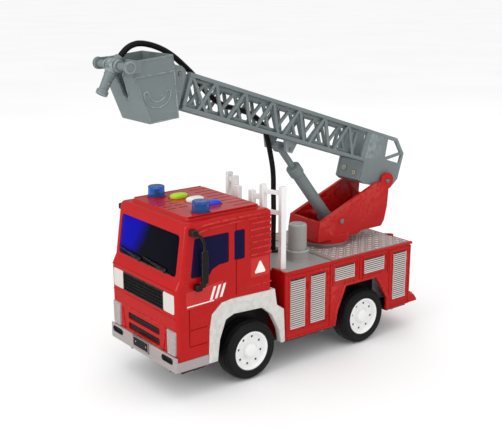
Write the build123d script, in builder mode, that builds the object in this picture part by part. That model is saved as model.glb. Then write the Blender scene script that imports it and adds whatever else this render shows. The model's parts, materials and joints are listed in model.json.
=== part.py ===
from build123d import *
from math import cos, pi, radians, sin, tan
import os

# Toy fire engine with a turntable ladder, a tilting basket and a water hose.
# Frame: +X towards the cab, +Y to the vehicle's left, +Z up, millimetres.
# The origin is on the ground, in the middle of the bounding box in X and Y.

os.makedirs("parts", exist_ok=True)

# ---- driving dimensions: body ----
HALF_W = 47.5            # half width over cab, body and tyres
WALL = 2.4               # moulded wall thickness
BODY_Z = 24.0            # lower edge of the rear body
DECK_Z = 81.8            # top rim of the rear body
BODY_FRONT_X = 13.6
BODY_REAR_X = -131.3
CAB_REAR_X = 28.4
CAB_FRONT_X = 118.0
CAB_SILL_Z = 33.0
CAB_TOP_Z = 138.0
ROOF_PANEL_Z = 140.5     # raised middle of the roof

# ---- driving dimensions: wheels and friction motor ----
TYRE_R = 24.35
TYRE_W = 17.0
RIM_R = 16.0
AXLE_R = 1.5
AXLE_Z = TYRE_R
FRONT_AXLE_X = 48.0
REAR_AXLE_X = -74.8
RUNNING = 0.06           # radial clearance of shafts that turn
GEAR_MODULE = 0.8
SMALL_TEETH = 10
DRIVE_TEETH = 22
IDLER_TEETH = 24
IDLER_XZ = (-64.8, 32.35)
FLYWHEEL_XZ = (-53.8, 40.35)

# ---- driving dimensions: ladder gear ----
TABLE_X = -70.5          # swivel centre of the turntable
NECK_R = 14.0
CHEEK_IN = 17.0
CHEEK_OUT = 20.0
PIVOT_X = -126.6
PIVOT_Z = 132.9
PIVOT_R = 2.0
LADDER_ANGLE = 18.3      # nose-up angle of the ladder at rest
LADDER_LENGTH = 231.0
LADDER_HALF_W = 16.0
RAIL_LOW = 11.0          # underside of the ladder, from the pivot line
RAIL_HIGH = 39.2
RAIL = 3.0
TRUSS_PITCH = 29.3
FOOT_X = -71.0           # lower end of the lift cylinder
FOOT_Z = 105.0
EYE_S = 116.8            # rod eye, along and across the ladder
EYE_T = 4.1
ROD_R = 2.8
HINGE_S = 240.1          # basket hinge, along and across the ladder
HINGE_T = 35.7
BASKET_X = 94.1          # rear lower corner of the basket
BASKET_Z = 210.75
BASKET_TILT = 5.5        # nose-down tilt of the basket at rest
NOZZLE_ANGLE = -61.0
TAIL_ANGLE = -48.0       # hose end of the nozzle, behind the bar
HOSE_R = 2.2


def ladder_point(s, t):
    """Place of a point s along and t across the ladder, in the XZ plane."""
    a = radians(LADDER_ANGLE)
    return (PIVOT_X + s * cos(a) - t * sin(a), PIVOT_Z + s * sin(a) + t * cos(a))


def tilted_plane(x, z, angle, y=0.0):
    """XZ plane turned about Y, with its normal to -Y and its origin at (x, y, z)."""
    a = radians(angle)
    return Plane(origin=(x, y, z), x_dir=(cos(a), 0, sin(a)), z_dir=(0, -1, 0))


def ladder_plane(y):
    return tilted_plane(PIVOT_X, PIVOT_Z, LADDER_ANGLE, y)


def basket_plane(y):
    return tilted_plane(BASKET_X, BASKET_Z, -BASKET_TILT, y)


def side_plane(y):
    """XZ plane at y, normal to -Y."""
    return Plane.XZ.offset(-y)


EYE_X, EYE_Z = ladder_point(EYE_S, EYE_T)
HINGE_X, HINGE_Z = ladder_point(HINGE_S, HINGE_T)
CYLINDER_DIR = Vector(EYE_X - FOOT_X, 0, EYE_Z - FOOT_Z)
CYLINDER_LENGTH = CYLINDER_DIR.length
CYLINDER_PLANE = Plane(origin=(FOOT_X, 0, FOOT_Z), x_dir=(0, 1, 0), z_dir=CYLINDER_DIR)
LADDER_SIDES = (LADDER_HALF_W, -13.4)      # outer y of each side plate, extruded to -Y
SIDES = (1, -1)

# ---- chassis ----
FLOOR_Z = 18.0
TUB_HALF_W = 29.5
WING_Z = 22.0
BATTERY_X = -14.6
WHEEL_WELLS = ((18.0, 82.0), (-102.0, -43.0))
WINGS = ((-38.0, 13.0), (-129.0, -104.5), (91.0, 113.0))
SCREW_PLACES = ((-30.0, 40.5), (-30.0, -40.5), (-115.0, 40.5), (-115.0, -40.5), (102.0, 40.5), (102.0, -40.5))

with BuildPart() as chassis_base:
    with BuildSketch(Plane.XY.offset(FLOOR_Z)):
        with Locations((-8.0, 0)):
            RectangleRounded(240.0, 2 * TUB_HALF_W, 3.0)
    extrude(amount=2.5)
    for x0, x1 in WHEEL_WELLS:
        with Locations((0.5 * (x0 + x1), 0, 0.5 * (FLOOR_Z + 60.0))):
            with GridLocations(1, 2 * TUB_HALF_W - 2.0, 1, 2):
                Box(x1 - x0, 2.0, 60.0 - FLOOR_Z)
    for x0, x1 in WINGS:
        with Locations((0.5 * (x0 + x1), 0, WING_Z + 1.0)):
            Box(x1 - x0, 90.0, 2.0)
        with Locations((0.5 * (x0 + x1), 0, 21.0)):
            with GridLocations(1, 2 * TUB_HALF_W - 2.0, 1, 2):
                Box(x1 - x0, 2.0, 6.0)
    # gearbox hump under the rear axle
    with Locations((-67.0, 0, 17.5)):
        Box(54.0, 26.0, 11.0)
    with Locations((-67.0, 0, 24.0)):
        Box(50.0, 22.0, 21.0, mode=Mode.SUBTRACT)
    # battery compartment, open at the floor
    with Locations((BATTERY_X, 0, 26.0)):
        Box(51.0, 41.0, 16.0)
    with Locations((BATTERY_X, 0, 25.0)):
        Box(47.0, 37.0, 15.0, mode=Mode.SUBTRACT)
    # axle and screw holes
    for x in (FRONT_AXLE_X, REAR_AXLE_X):
        with Locations(Plane.XZ.location * Location((x, AXLE_Z, 0))):
            Cylinder(AXLE_R + RUNNING, 70.0, mode=Mode.SUBTRACT)
    with Locations(*[(x, y, WING_Z + 1.0) for x, y in SCREW_PLACES]):
        Cylinder(1.7, 4.0, mode=Mode.SUBTRACT)
chassis_base.part.label = "chassis_base"
export_step(chassis_base.part, "parts/chassis_base.step")

with BuildPart() as battery_door:
    with BuildSketch(Plane.XY.offset(FLOOR_Z)):
        with Locations((BATTERY_X, 0)):
            Rectangle(46.6, 36.6)
    extrude(amount=1.6)
    with BuildSketch(Plane.XY.offset(FLOOR_Z)):
        with Locations((BATTERY_X - 17.5, 0)):
            Rectangle(6.0, 12.0)
    extrude(amount=0.6, mode=Mode.SUBTRACT)
battery_door.part.label = "battery_door"
export_step(battery_door.part, "parts/battery_door.step")

CELL_R = 5.25
CELL_Z = 26.0
with BuildPart() as battery_cells:
    for y in (-11.6, 0.0, 11.6):
        with BuildSketch(Plane.YZ.offset(BATTERY_X - 22.5)):
            with Locations((y, CELL_Z)):
                Circle(CELL_R)
        extrude(amount=43.4)
        with BuildSketch(Plane.YZ.offset(BATTERY_X + 20.9)):
            with Locations((y, CELL_Z)):
                Circle(1.9)
        extrude(amount=1.1)
battery_cells.part.label = "battery_cells"
export_step(battery_cells.part, "parts/battery_cells.step")

with BuildPart() as body_screws:
    with BuildSketch(Plane.XY.offset(WING_Z - 1.6)):
        with Locations(*SCREW_PLACES):
            Circle(2.8)
    extrude(amount=1.6)
    with BuildSketch(Plane.XY.offset(WING_Z)):
        with Locations(*SCREW_PLACES):
            Circle(1.4)
    extrude(amount=13.0)
body_screws.part.label = "body_screws"
export_step(body_screws.part, "parts/body_screws.step")

# ---- wheels ----
for end, axle_x in (("front", FRONT_AXLE_X), ("rear", REAR_AXLE_X)):
    with BuildPart() as axle:
        with BuildSketch(side_plane(HALF_W - 5.0)):
            with Locations((axle_x, AXLE_Z)):
                Circle(AXLE_R)
        extrude(amount=2 * HALF_W - 10.0)
    axle.part.label = end + "_axle"
    export_step(axle.part, "parts/" + end + "_axle.step")

    wheel_planes = [Plane(origin=(axle_x, side * HALF_W, AXLE_Z), x_dir=(1, 0, 0), z_dir=(0, side, 0))
                    for side in SIDES]
    with BuildPart() as tyres:
        for wheel_plane in wheel_planes:
            with BuildSketch(wheel_plane):
                Circle(TYRE_R)
                Circle(RIM_R, mode=Mode.SUBTRACT)
            extrude(amount=-TYRE_W)
        fillet(tyres.edges().filter_by(GeomType.CIRCLE).filter_by(lambda e: e.radius > TYRE_R - 0.1), 3.0)
    tyres.part.label = "tyres_" + end
    export_step(tyres.part, "parts/tyres_" + end + ".step")

    with BuildPart() as rims:
        for wheel_plane in wheel_planes:
            with BuildSketch(wheel_plane.offset(-1.0)):
                Circle(RIM_R)
                Circle(RIM_R - 1.8, mode=Mode.SUBTRACT)
            extrude(amount=-(TYRE_W - 2.0))
            with BuildSketch(wheel_plane.offset(-4.0)):
                Circle(RIM_R - 0.5)
            extrude(amount=-2.2)
            with BuildSketch(wheel_plane.offset(-4.0)):
                Circle(5.4)
            extrude(amount=3.6, taper=12.0)
            with BuildSketch(wheel_plane.offset(-6.0)):
                Circle(4.6)
            extrude(amount=-9.0)
            with BuildSketch(wheel_plane.offset(-4.0)):
                with PolarLocations(11.2, 8):
                    Circle(1.3)
            extrude(amount=-2.2, mode=Mode.SUBTRACT)
            with BuildSketch(wheel_plane.offset(-5.0)):
                Circle(AXLE_R)
            extrude(amount=-12.0, mode=Mode.SUBTRACT)
    rims.part.label = "rims_" + end
    export_step(rims.part, "parts/rims_" + end + ".step")


# ---- friction motor ----
def gear_profile(teeth, turn):
    """Outline of a spur gear with slim straight-sided teeth, turned by a part of a tooth."""
    pitch_r = 0.5 * GEAR_MODULE * teeth
    root_r = pitch_r - 0.95 * GEAR_MODULE
    tip_r = pitch_r + 0.75 * GEAR_MODULE
    step = 2 * pi / teeth
    points = []
    for k in range(teeth):
        for r, part in ((root_r, -0.30), (tip_r, -0.11), (tip_r, 0.11), (root_r, 0.30)):
            a = (k + turn + part) * step
            points.append((r * cos(a), r * sin(a)))
    return points


def mesh_turn(teeth, angle, driver_teeth, driver_turn, sign):
    """Turn, in teeth, that puts a gap of this gear opposite a tooth of its driver."""
    driver_phase = (angle * driver_teeth / 360.0 - driver_turn) % 1.0
    own_phase = 0.5 + sign * driver_phase
    return (angle + 180.0) * teeth / 360.0 - own_phase


IDLER_ANGLE = 38.66       # from the rear axle up to the idler shaft
FLYWHEEL_ANGLE = 36.03    # from the idler shaft up to the flywheel shaft
IDLER_TURN = mesh_turn(SMALL_TEETH, IDLER_ANGLE, DRIVE_TEETH, 0.0, -1)
WHEEL_TURN = 0.25
FLYWHEEL_TURN = mesh_turn(SMALL_TEETH, FLYWHEEL_ANGLE, IDLER_TEETH, WHEEL_TURN, -1)

with BuildPart() as drive_gear:
    with BuildSketch(tilted_plane(REAR_AXLE_X, AXLE_Z, 0.0, -1.0)):
        with BuildLine():
            Polyline(*gear_profile(DRIVE_TEETH, 0.0), close=True)
        make_face()
        Circle(AXLE_R, mode=Mode.SUBTRACT)
    extrude(amount=4.0)
drive_gear.part.label = "drive_gear"
export_step(drive_gear.part, "parts/drive_gear.step")

with BuildPart() as idler_gear:
    with BuildSketch(tilted_plane(*IDLER_XZ, 0.0, -0.6)):
        with BuildLine():
            Polyline(*gear_profile(SMALL_TEETH, IDLER_TURN), close=True)
        make_face()
    extrude(amount=4.8)
    with BuildSketch(tilted_plane(*IDLER_XZ, 0.0, 2.6)):
        with BuildLine():
            Polyline(*gear_profile(IDLER_TEETH, WHEEL_TURN), close=True)
        make_face()
    extrude(amount=3.2)
    with BuildSketch(tilted_plane(*IDLER_XZ, 0.0, 10.5)):
        Circle(1.0)
    extrude(amount=21.0)
idler_gear.part.label = "idler_gear"
export_step(idler_gear.part, "parts/idler_gear.step")

with BuildPart() as flywheel:
    with BuildSketch(tilted_plane(*FLYWHEEL_XZ, 0.0, 3.0)):
        with BuildLine():
            Polyline(*gear_profile(SMALL_TEETH, FLYWHEEL_TURN), close=True)
        make_face()
    extrude(amount=4.0)
    with BuildSketch(tilted_plane(*FLYWHEEL_XZ, 0.0, 8.4)):
        Circle(11.5)
    extrude(amount=5.0)
    with BuildSketch(tilted_plane(*FLYWHEEL_XZ, 0.0, 10.5)):
        Circle(1.0)
    extrude(amount=21.0)
flywheel.part.label = "flywheel"
export_step(flywheel.part, "parts/flywheel.step")

with BuildPart() as motor_frame:
    for y in (10.6, -9.2):
        with BuildSketch(side_plane(y)):
            with BuildLine():
                Polyline((-88.0, 13.5), (-46.5, 13.5), (-46.5, 21.5), (-41.5, 27.0), (-41.5, 54.0), (-60.0, 54.0),
                         (-88.0, 36.0), close=True)
            make_face()
            with Locations((REAR_AXLE_X, AXLE_Z)):
                Circle(AXLE_R + RUNNING, mode=Mode.SUBTRACT)
            with Locations(IDLER_XZ, FLYWHEEL_XZ):
                Circle(1.0 + RUNNING, mode=Mode.SUBTRACT)
        extrude(amount=1.4)
    with BuildSketch(side_plane(10.6)):
        with Locations((-85.5, 34.0), (-44.0, 22.0)):
            Circle(1.6)
    extrude(amount=21.2)
motor_frame.part.label = "motor_frame"
export_step(motor_frame.part, "parts/motor_frame.step")

# ---- cab ----
SCREEN_TILT = 8.43
SCREEN_PLANE = Plane(origin=(112.0, 0, 113.1), x_dir=(0, 1, 0),
                     z_dir=(cos(radians(SCREEN_TILT)), 0, sin(radians(SCREEN_TILT))))
CAB_PROFILE = [(CAB_REAR_X, CAB_SILL_Z), (CAB_REAR_X, CAB_TOP_Z), (108.3, CAB_TOP_Z), (114.6, 95.5),
               (CAB_FRONT_X, 89.0), (CAB_FRONT_X, CAB_SILL_Z)]
DOOR_WINDOW = [(70.3, 126.1), (70.3, 102.9), (79.5, 102.3), (85.5, 100.0), (88.5, 95.8), (105.3, 96.6),
               (101.5, 126.1)]
ARCH_OUTER = [(14.7, 24.1), (16.1, 52.7), (23.4, 57.8), (25.6, 71.7), (67.9, 72.9), (77.4, 71.8), (86.7, 64.3),
              (88.8, 52.7), (90.1, 25.1)]
ARCH_INNER = [(81.6, 25.1), (79.5, 42.3), (73.7, 57.2), (66.1, 60.2), (38.6, 58.8), (28.5, 50.5), (21.1, 35.9),
              (18.9, 24.1)]
BUTTON_PLACES = ((72.0, -17.0), (68.0, 0.0), (64.5, 18.0))
BUTTON_LENGTH = 15.5
BUTTON_WIDTH = 9.0
BEACON_PLACES = ((84.0, 31.0), (84.0, -31.0))
BEACON_RING = 0.4
LED_R = 2.5
BOARD_TOP = 129.0
SPEAKER_X = 95.5
SPEAKER_R = 9.5
SPEAKER_H = 3.0
GRILLE_Z = 77.3


def door_window_face(margin):
    """Outline of both side panes, grown by a margin."""
    with BuildSketch(mode=Mode.PRIVATE) as panes:
        with BuildLine():
            Polyline(*DOOR_WINDOW, close=True)
        make_face()
        with Locations((60.2, 114.5)):
            Rectangle(10.0, 23.2)
        fillet(panes.vertices(), 1.6)
        if margin:
            offset(amount=margin)
    return panes.sketch


with BuildPart() as cab_shell:
    with BuildSketch(Plane.XZ):
        with BuildLine():
            Polyline(*CAB_PROFILE, close=True)
        make_face()
    extrude(amount=HALF_W, both=True)
    fillet(cab_shell.edges().filter_by(Axis.Y).group_by(Axis.Z)[-1], 4.0)
    side_edges = cab_shell.edges().filter_by(lambda e: abs(abs(e.center().Y) - HALF_W) < 0.01
                                             and e.center().Z > CAB_SILL_Z + 0.1)
    fillet(side_edges, 3.6)
    offset(amount=-WALL, openings=cab_shell.faces().sort_by(Axis.Z)[0])
    # raised roof panel with its ribs and loudspeaker slits
    with BuildSketch(Plane.XY.offset(CAB_TOP_Z - 0.6)):
        with Locations((68.5, 0)):
            RectangleRounded(72.0, 80.0, 5.0)
    extrude(amount=ROOF_PANEL_Z - CAB_TOP_Z + 0.6, taper=40.0)
    with BuildSketch(Plane.XY.offset(ROOF_PANEL_Z)):
        with Locations((44.5, 0)):
            with GridLocations(1, 8.6, 1, 8):
                Rectangle(18.0, 1.3)
    extrude(amount=-0.9, mode=Mode.SUBTRACT)
    with BuildSketch(Plane.XY.offset(ROOF_PANEL_Z + 1.0)):
        with Locations((91.0, 0)):
            with GridLocations(10.5, 7.0, 2, 4):
                Rectangle(8.0, 1.3)
    extrude(amount=-8.0, mode=Mode.SUBTRACT)
    with BuildSketch(Plane.XY.offset(ROOF_PANEL_Z)):
        with Locations(*BEACON_PLACES):
            Circle(8.2)
    extrude(amount=BEACON_RING)
    with BuildSketch(Plane.XY.offset(BOARD_TOP)):
        with Locations((54.5, 31.0), (54.5, -31.0), (86.0, 20.0), (86.0, -20.0)):
            Circle(2.0)
        with Locations((SPEAKER_X, 0)):
            Circle(SPEAKER_R)
            Circle(SPEAKER_R - 1.2, mode=Mode.SUBTRACT)
    extrude(amount=CAB_TOP_Z - 2.0 - BOARD_TOP)
    with BuildSketch(Plane.XY.offset(BOARD_TOP)):
        with Locations((SPEAKER_X, 0)):
            Circle(SPEAKER_R)
    extrude(amount=SPEAKER_H, mode=Mode.SUBTRACT)
    with BuildSketch(Plane.XY.offset(ROOF_PANEL_Z + BEACON_RING)):
        with Locations(*BEACON_PLACES):
            Circle(LED_R + 0.2)
    extrude(amount=-8.0, mode=Mode.SUBTRACT)
    # button wells
    with BuildSketch(Plane.XY.offset(ROOF_PANEL_Z + 1.0)):
        with Locations(*BUTTON_PLACES):
            SlotOverall(BUTTON_LENGTH + 0.8, BUTTON_WIDTH + 0.8)
    extrude(amount=-8.0, mode=Mode.SUBTRACT)
    # glass openings
    with BuildSketch(SCREEN_PLANE.offset(5.0)):
        RectangleRounded(82.0, 31.6, 3.0)
    extrude(amount=-12.0, mode=Mode.SUBTRACT)
    with BuildSketch(side_plane(HALF_W + 1.0)):
        add(door_window_face(0.0))
    extrude(amount=2 * HALF_W + 2.0, mode=Mode.SUBTRACT)
    # wheel arch opening
    with BuildSketch(side_plane(HALF_W + 1.0)):
        with BuildLine():
            Polyline(*ARCH_OUTER, close=True)
        make_face()
        offset(amount=0.1)
    extrude(amount=2 * HALF_W + 2.0, mode=Mode.SUBTRACT)
    # grille recess, air slots and headlight recesses in the front face
    with BuildSketch(Plane.YZ.offset(CAB_FRONT_X + 1.0)):
        with Locations((0, GRILLE_Z)):
            Rectangle(88.4, 15.6)
        with Locations((0, 50.0), (0, 41.5)):
            RectangleRounded(46.0, 5.6, 1.5)
        with Locations((39.8, 47.0), (-39.8, 47.0)):
            RectangleRounded(11.8, 20.4, 2.0)
    extrude(amount=-2.2, mode=Mode.SUBTRACT)
    # door gaps, lower panel gaps, louvres and drip rail on both sides
    for side in SIDES:
        skin = Plane(origin=(0, side * HALF_W, 0), x_dir=(1, 0, 0), z_dir=(0, side, 0))
        up = -side
        with BuildSketch(skin):
            with Locations((63.5, up * 104.0)):
                Rectangle(0.8, 58.0)
            with Locations((107.0, up * 58.0)):
                Rectangle(0.8, 30.0)
            with Locations((99.0, up * 56.0), (99.0, up * 43.0)):
                Rectangle(16.0, 0.8)
        extrude(amount=-0.7, mode=Mode.SUBTRACT)
        with BuildSketch(skin):
            with Locations((40.0, up * 116.5)):
                with GridLocations(1, 5.0, 1, 6):
                    Rectangle(20.5, 2.4)
            with Locations((66.0, up * 132.8)):
                Rectangle(66.0, 1.3)
        extrude(amount=0.6)
    # screw posts
    for x, y in SCREW_PLACES[4:]:
        with Locations((x, y, 39.0)):
            Cylinder(3.2, 30.0)
        with Locations((x, y + (3.1 if y > 0 else -3.1), 44.0)):
            Box(2.0, 5.0, 20.0)
        with Locations((x, y, 30.0)):
            Cylinder(1.4, 16.0, mode=Mode.SUBTRACT)
cab_shell.part.label = "cab_shell"
export_step(cab_shell.part, "parts/cab_shell.step")

with BuildPart() as windscreen:
    with BuildSketch(SCREEN_PLANE.offset(-0.2)):
        RectangleRounded(81.8, 31.4, 2.9)
    extrude(amount=-2.2)
    with BuildSketch(SCREEN_PLANE.offset(-WALL - 0.1)):
        RectangleRounded(84.0, 34.0, 3.0)
    extrude(amount=-0.8)
    # wipers moulded on the pane
    with BuildSketch(SCREEN_PLANE.offset(-0.5)):
        for y in (-19.0, 19.0):
            with Locations((y, -11.8)):
                Rectangle(34.0, 1.3, rotation=4.0)
            with Locations((y - 8.0, -12.6)):
                Rectangle(17.0, 1.6, rotation=10.0)
            with Locations((y - 16.0, -13.6)):
                Circle(1.8)
    extrude(amount=1.6)
windscreen.part.label = "windscreen"
export_step(windscreen.part, "parts/windscreen.step")

with BuildPart() as side_windows:
    for side in SIDES:
        skin = side_plane(HALF_W - 0.2 if side > 0 else -HALF_W + WALL)
        with BuildSketch(skin):
            add(door_window_face(-0.1))
        extrude(amount=WALL - 0.2)
        flange = side_plane(HALF_W - WALL if side > 0 else -HALF_W + WALL + 0.8)
        with BuildSketch(flange):
            add(door_window_face(1.2))
        extrude(amount=0.8)
side_windows.part.label = "side_windows"
export_step(side_windows.part, "parts/side_windows.step")

with BuildPart() as grille:
    with BuildSketch(Plane.YZ.offset(CAB_FRONT_X - 1.1)):
        with Locations((0, GRILLE_Z)):
            Rectangle(57.6, 15.2)
    extrude(amount=0.6)
    with BuildSketch(Plane.YZ.offset(CAB_FRONT_X - 0.6)):
        with Locations((0, GRILLE_Z)):
            with GridLocations(1, 2.9, 1, 5):
                Rectangle(57.0, 1.0)
            Rectangle(57.6, 15.2)
            Rectangle(55.6, 13.4, mode=Mode.SUBTRACT)
            with GridLocations(1, 2.9, 1, 5):
                Rectangle(57.0, 1.0)
    extrude(amount=0.8)
grille.part.label = "grille"
export_step(grille.part, "parts/grille.step")

with BuildPart() as grille_trims:
    with BuildSketch(Plane.YZ.offset(CAB_FRONT_X - 1.1)):
        with Locations((36.6, GRILLE_Z), (-36.6, GRILLE_Z)):
            RectangleRounded(14.6, 15.2, 1.6)
    extrude(amount=1.4)
grille_trims.part.label = "grille_trims"
export_step(grille_trims.part, "parts/grille_trims.step")

BUMPER_X = 120.4
BUMPER_Z = 25.0
FOG_PLACES = ((36.5, 33.2), (-36.5, 33.2))
with BuildPart() as front_bumper:
    with BuildSketch(Plane.XY.offset(BUMPER_Z)):
        with Locations((105.3, 0)):
            Rectangle(2 * (BUMPER_X - 105.3), 96.0)
    extrude(amount=CAB_SILL_Z - BUMPER_Z - 0.2)
    with BuildSketch(Plane.XY.offset(BUMPER_Z)):
        with Locations((119.3, 0)):
            Rectangle(2.2, 96.0)
    extrude(amount=12.0)
    fillet(front_bumper.edges().filter_by(Axis.Z).group_by(Axis.X)[-1], 2.0)
    with Locations((103.0, 0, BUMPER_Z)):
        Box(28.0, 90.6, 40.0, mode=Mode.SUBTRACT)
    with BuildSketch(Plane.YZ.offset(BUMPER_X)):
        with Locations(*FOG_PLACES):
            SlotOverall(15.0, 4.6)
    extrude(amount=-1.4, mode=Mode.SUBTRACT)
    # blank number plate
    with BuildSketch(Plane.YZ.offset(BUMPER_X)):
        with Locations((0, 33.4)):
            RectangleRounded(24.0, 9.6, 0.8)
    extrude(amount=0.8)
front_bumper.part.label = "front_bumper"
export_step(front_bumper.part, "parts/front_bumper.step")

with BuildPart() as front_lamps:
    with BuildSketch(Plane.YZ.offset(CAB_FRONT_X - 1.1)):
        with Locations((39.8, 47.0), (-39.8, 47.0)):
            RectangleRounded(11.4, 20.0, 1.8)
    extrude(amount=1.9)
    fillet(front_lamps.edges().group_by(Axis.X)[-1], 0.7)
    with BuildSketch(Plane.YZ.offset(BUMPER_X - 1.3)):
        with Locations(*FOG_PLACES):
            SlotOverall(14.6, 4.2)
    extrude(amount=0.9)
front_lamps.part.label = "front_lamps"
export_step(front_lamps.part, "parts/front_lamps.step")

with BuildPart() as wheel_arch_trims:
    for y in (48.2, -42.6):
        with BuildSketch(side_plane(y)):
            with BuildLine():
                Polyline(*ARCH_OUTER, *ARCH_INNER, close=True)
            make_face()
        extrude(amount=5.6)
    chamfer(wheel_arch_trims.faces().filter_by(Axis.Y).group_by(Axis.Y)[-1].edges(), 0.5)
    chamfer(wheel_arch_trims.faces().filter_by(Axis.Y).group_by(Axis.Y)[0].edges(), 0.5)
wheel_arch_trims.part.label = "wheel_arch_trims"
export_step(wheel_arch_trims.part, "parts/wheel_arch_trims.step")

with BuildPart() as door_mirrors:
    for y in (53.0, -50.2):
        with BuildSketch(side_plane(y)):
            with BuildLine():
                Polyline((104.5, 132.0), (98.6, 128.0), (95.8, 122.0), (95.8, 90.5), (100.5, 89.2))
            trace(line_width=2.4)
            with Locations((95.6, 104.5)):
                RectangleRounded(6.0, 26.0, 2.0)
        extrude(amount=2.8)
    for side in SIDES:
        with BuildSketch(side_plane(53.0 if side > 0 else -47.7)):
            with Locations((103.8, 131.6), (100.8, 89.4)):
                RectangleRounded(5.6, 5.0, 1.2)
        extrude(amount=5.3)
door_mirrors.part.label = "door_mirrors"
export_step(door_mirrors.part, "parts/door_mirrors.step")

# ---- roof fittings ----
with BuildPart() as beacons:
    with BuildSketch(Plane.XY.offset(ROOF_PANEL_Z + BEACON_RING)):
        with Locations(*BEACON_PLACES):
            Circle(6.7)
    extrude(amount=8.5)
    fillet(beacons.edges().group_by(Axis.Z)[-1], 1.2)
    with BuildSketch(Plane.XY.offset(ROOF_PANEL_Z + BEACON_RING)):
        with Locations(*BEACON_PLACES):
            Circle(5.4)
    extrude(amount=7.2, mode=Mode.SUBTRACT)
beacons.part.label = "beacons"
export_step(beacons.part, "parts/beacons.step")

BUTTON_TOP_Z = 144.0
BUTTON_FLANGE_Z = 133.8
BUTTON_TRAVEL = 1.8
for colour, place in zip(("green", "white", "blue"), BUTTON_PLACES):
    with BuildPart() as button:
        with BuildSketch(Plane.XY.offset(BUTTON_FLANGE_Z)):
            with Locations(place):
                SlotOverall(BUTTON_LENGTH, BUTTON_WIDTH)
        extrude(amount=BUTTON_TOP_Z - BUTTON_FLANGE_Z)
        fillet(button.edges().group_by(Axis.Z)[-1], 2.2)
        with BuildSketch(Plane.XY.offset(BUTTON_FLANGE_Z)):
            with Locations(place):
                SlotOverall(BUTTON_LENGTH + 1.8, BUTTON_WIDTH + 1.8)
        extrude(amount=1.6)
    button.part.label = "button_" + colour
    export_step(button.part, "parts/button_" + colour + ".step")

with BuildPart() as circuit_board:
    with BuildSketch(Plane.XY.offset(BOARD_TOP - 1.6)):
        with Locations((70.5, 0)):
            RectangleRounded(36.0, 72.0, 1.0)
    extrude(amount=1.6)
    with BuildSketch(Plane.XY.offset(BOARD_TOP)):
        with Locations(*BUTTON_PLACES):
            Circle(2.6)
    extrude(amount=BUTTON_FLANGE_Z - BUTTON_TRAVEL - 0.1 - BOARD_TOP)
    with BuildSketch(Plane.XY.offset(BOARD_TOP)):
        with Locations(*BEACON_PLACES):
            Circle(LED_R)
    extrude(amount=17.6)
    fillet(circuit_board.edges().group_by(Axis.Z)[-1], 2.2)
circuit_board.part.label = "circuit_board"
export_step(circuit_board.part, "parts/circuit_board.step")

with BuildPart() as loudspeaker:
    with BuildSketch(Plane.XY.offset(BOARD_TOP)):
        with Locations((SPEAKER_X, 0)):
            Circle(SPEAKER_R - 0.1)
    extrude(amount=SPEAKER_H)
    with BuildSketch(Plane.XY.offset(BOARD_TOP)):
        with Locations((SPEAKER_X, 0)):
            Circle(5.5)
    extrude(amount=-5.0)
loudspeaker.part.label = "loudspeaker"
export_step(loudspeaker.part, "parts/loudspeaker.step")

# ---- rear body ----
BODY_MID_X = 0.5 * (BODY_FRONT_X + BODY_REAR_X)
BODY_LENGTH = BODY_FRONT_X - BODY_REAR_X
REAR_ARCH = [(-40.8, 23.0), (-43.8, 37.7), (-52.4, 57.0), (-88.1, 57.0), (-101.7, 36.0), (-102.2, 23.0)]
SHUTTERS = [(-7.2, 9.0, 32.2, 74.6), (-29.0, -12.8, 32.8, 74.6), (-62.5, -39.3, 63.6, 75.9),
            (-98.0, -73.3, 63.2, 76.2), (-125.9, -108.9, 32.0, 75.0)]
REAR_SHUTTER = (62.0, 40.0, 56.0)
STEP_LINE_X = -38.0
PUMP_XY = (-20.0, 21.3)
COLLAR_R = 9.9
HOSE_XY = (-17.0, -7.0)
HOSE_FOOT = 79.0


def shutter_face(grow):
    """Outlines of the five side panels, grown by a margin."""
    with BuildSketch(mode=Mode.PRIVATE) as panels:
        for x0, x1, z0, z1 in SHUTTERS:
            with Locations((0.5 * (x0 + x1), 0.5 * (z0 + z1))):
                Rectangle(x1 - x0 + 2 * grow, z1 - z0 + 2 * grow)
    return panels.sketch


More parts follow.
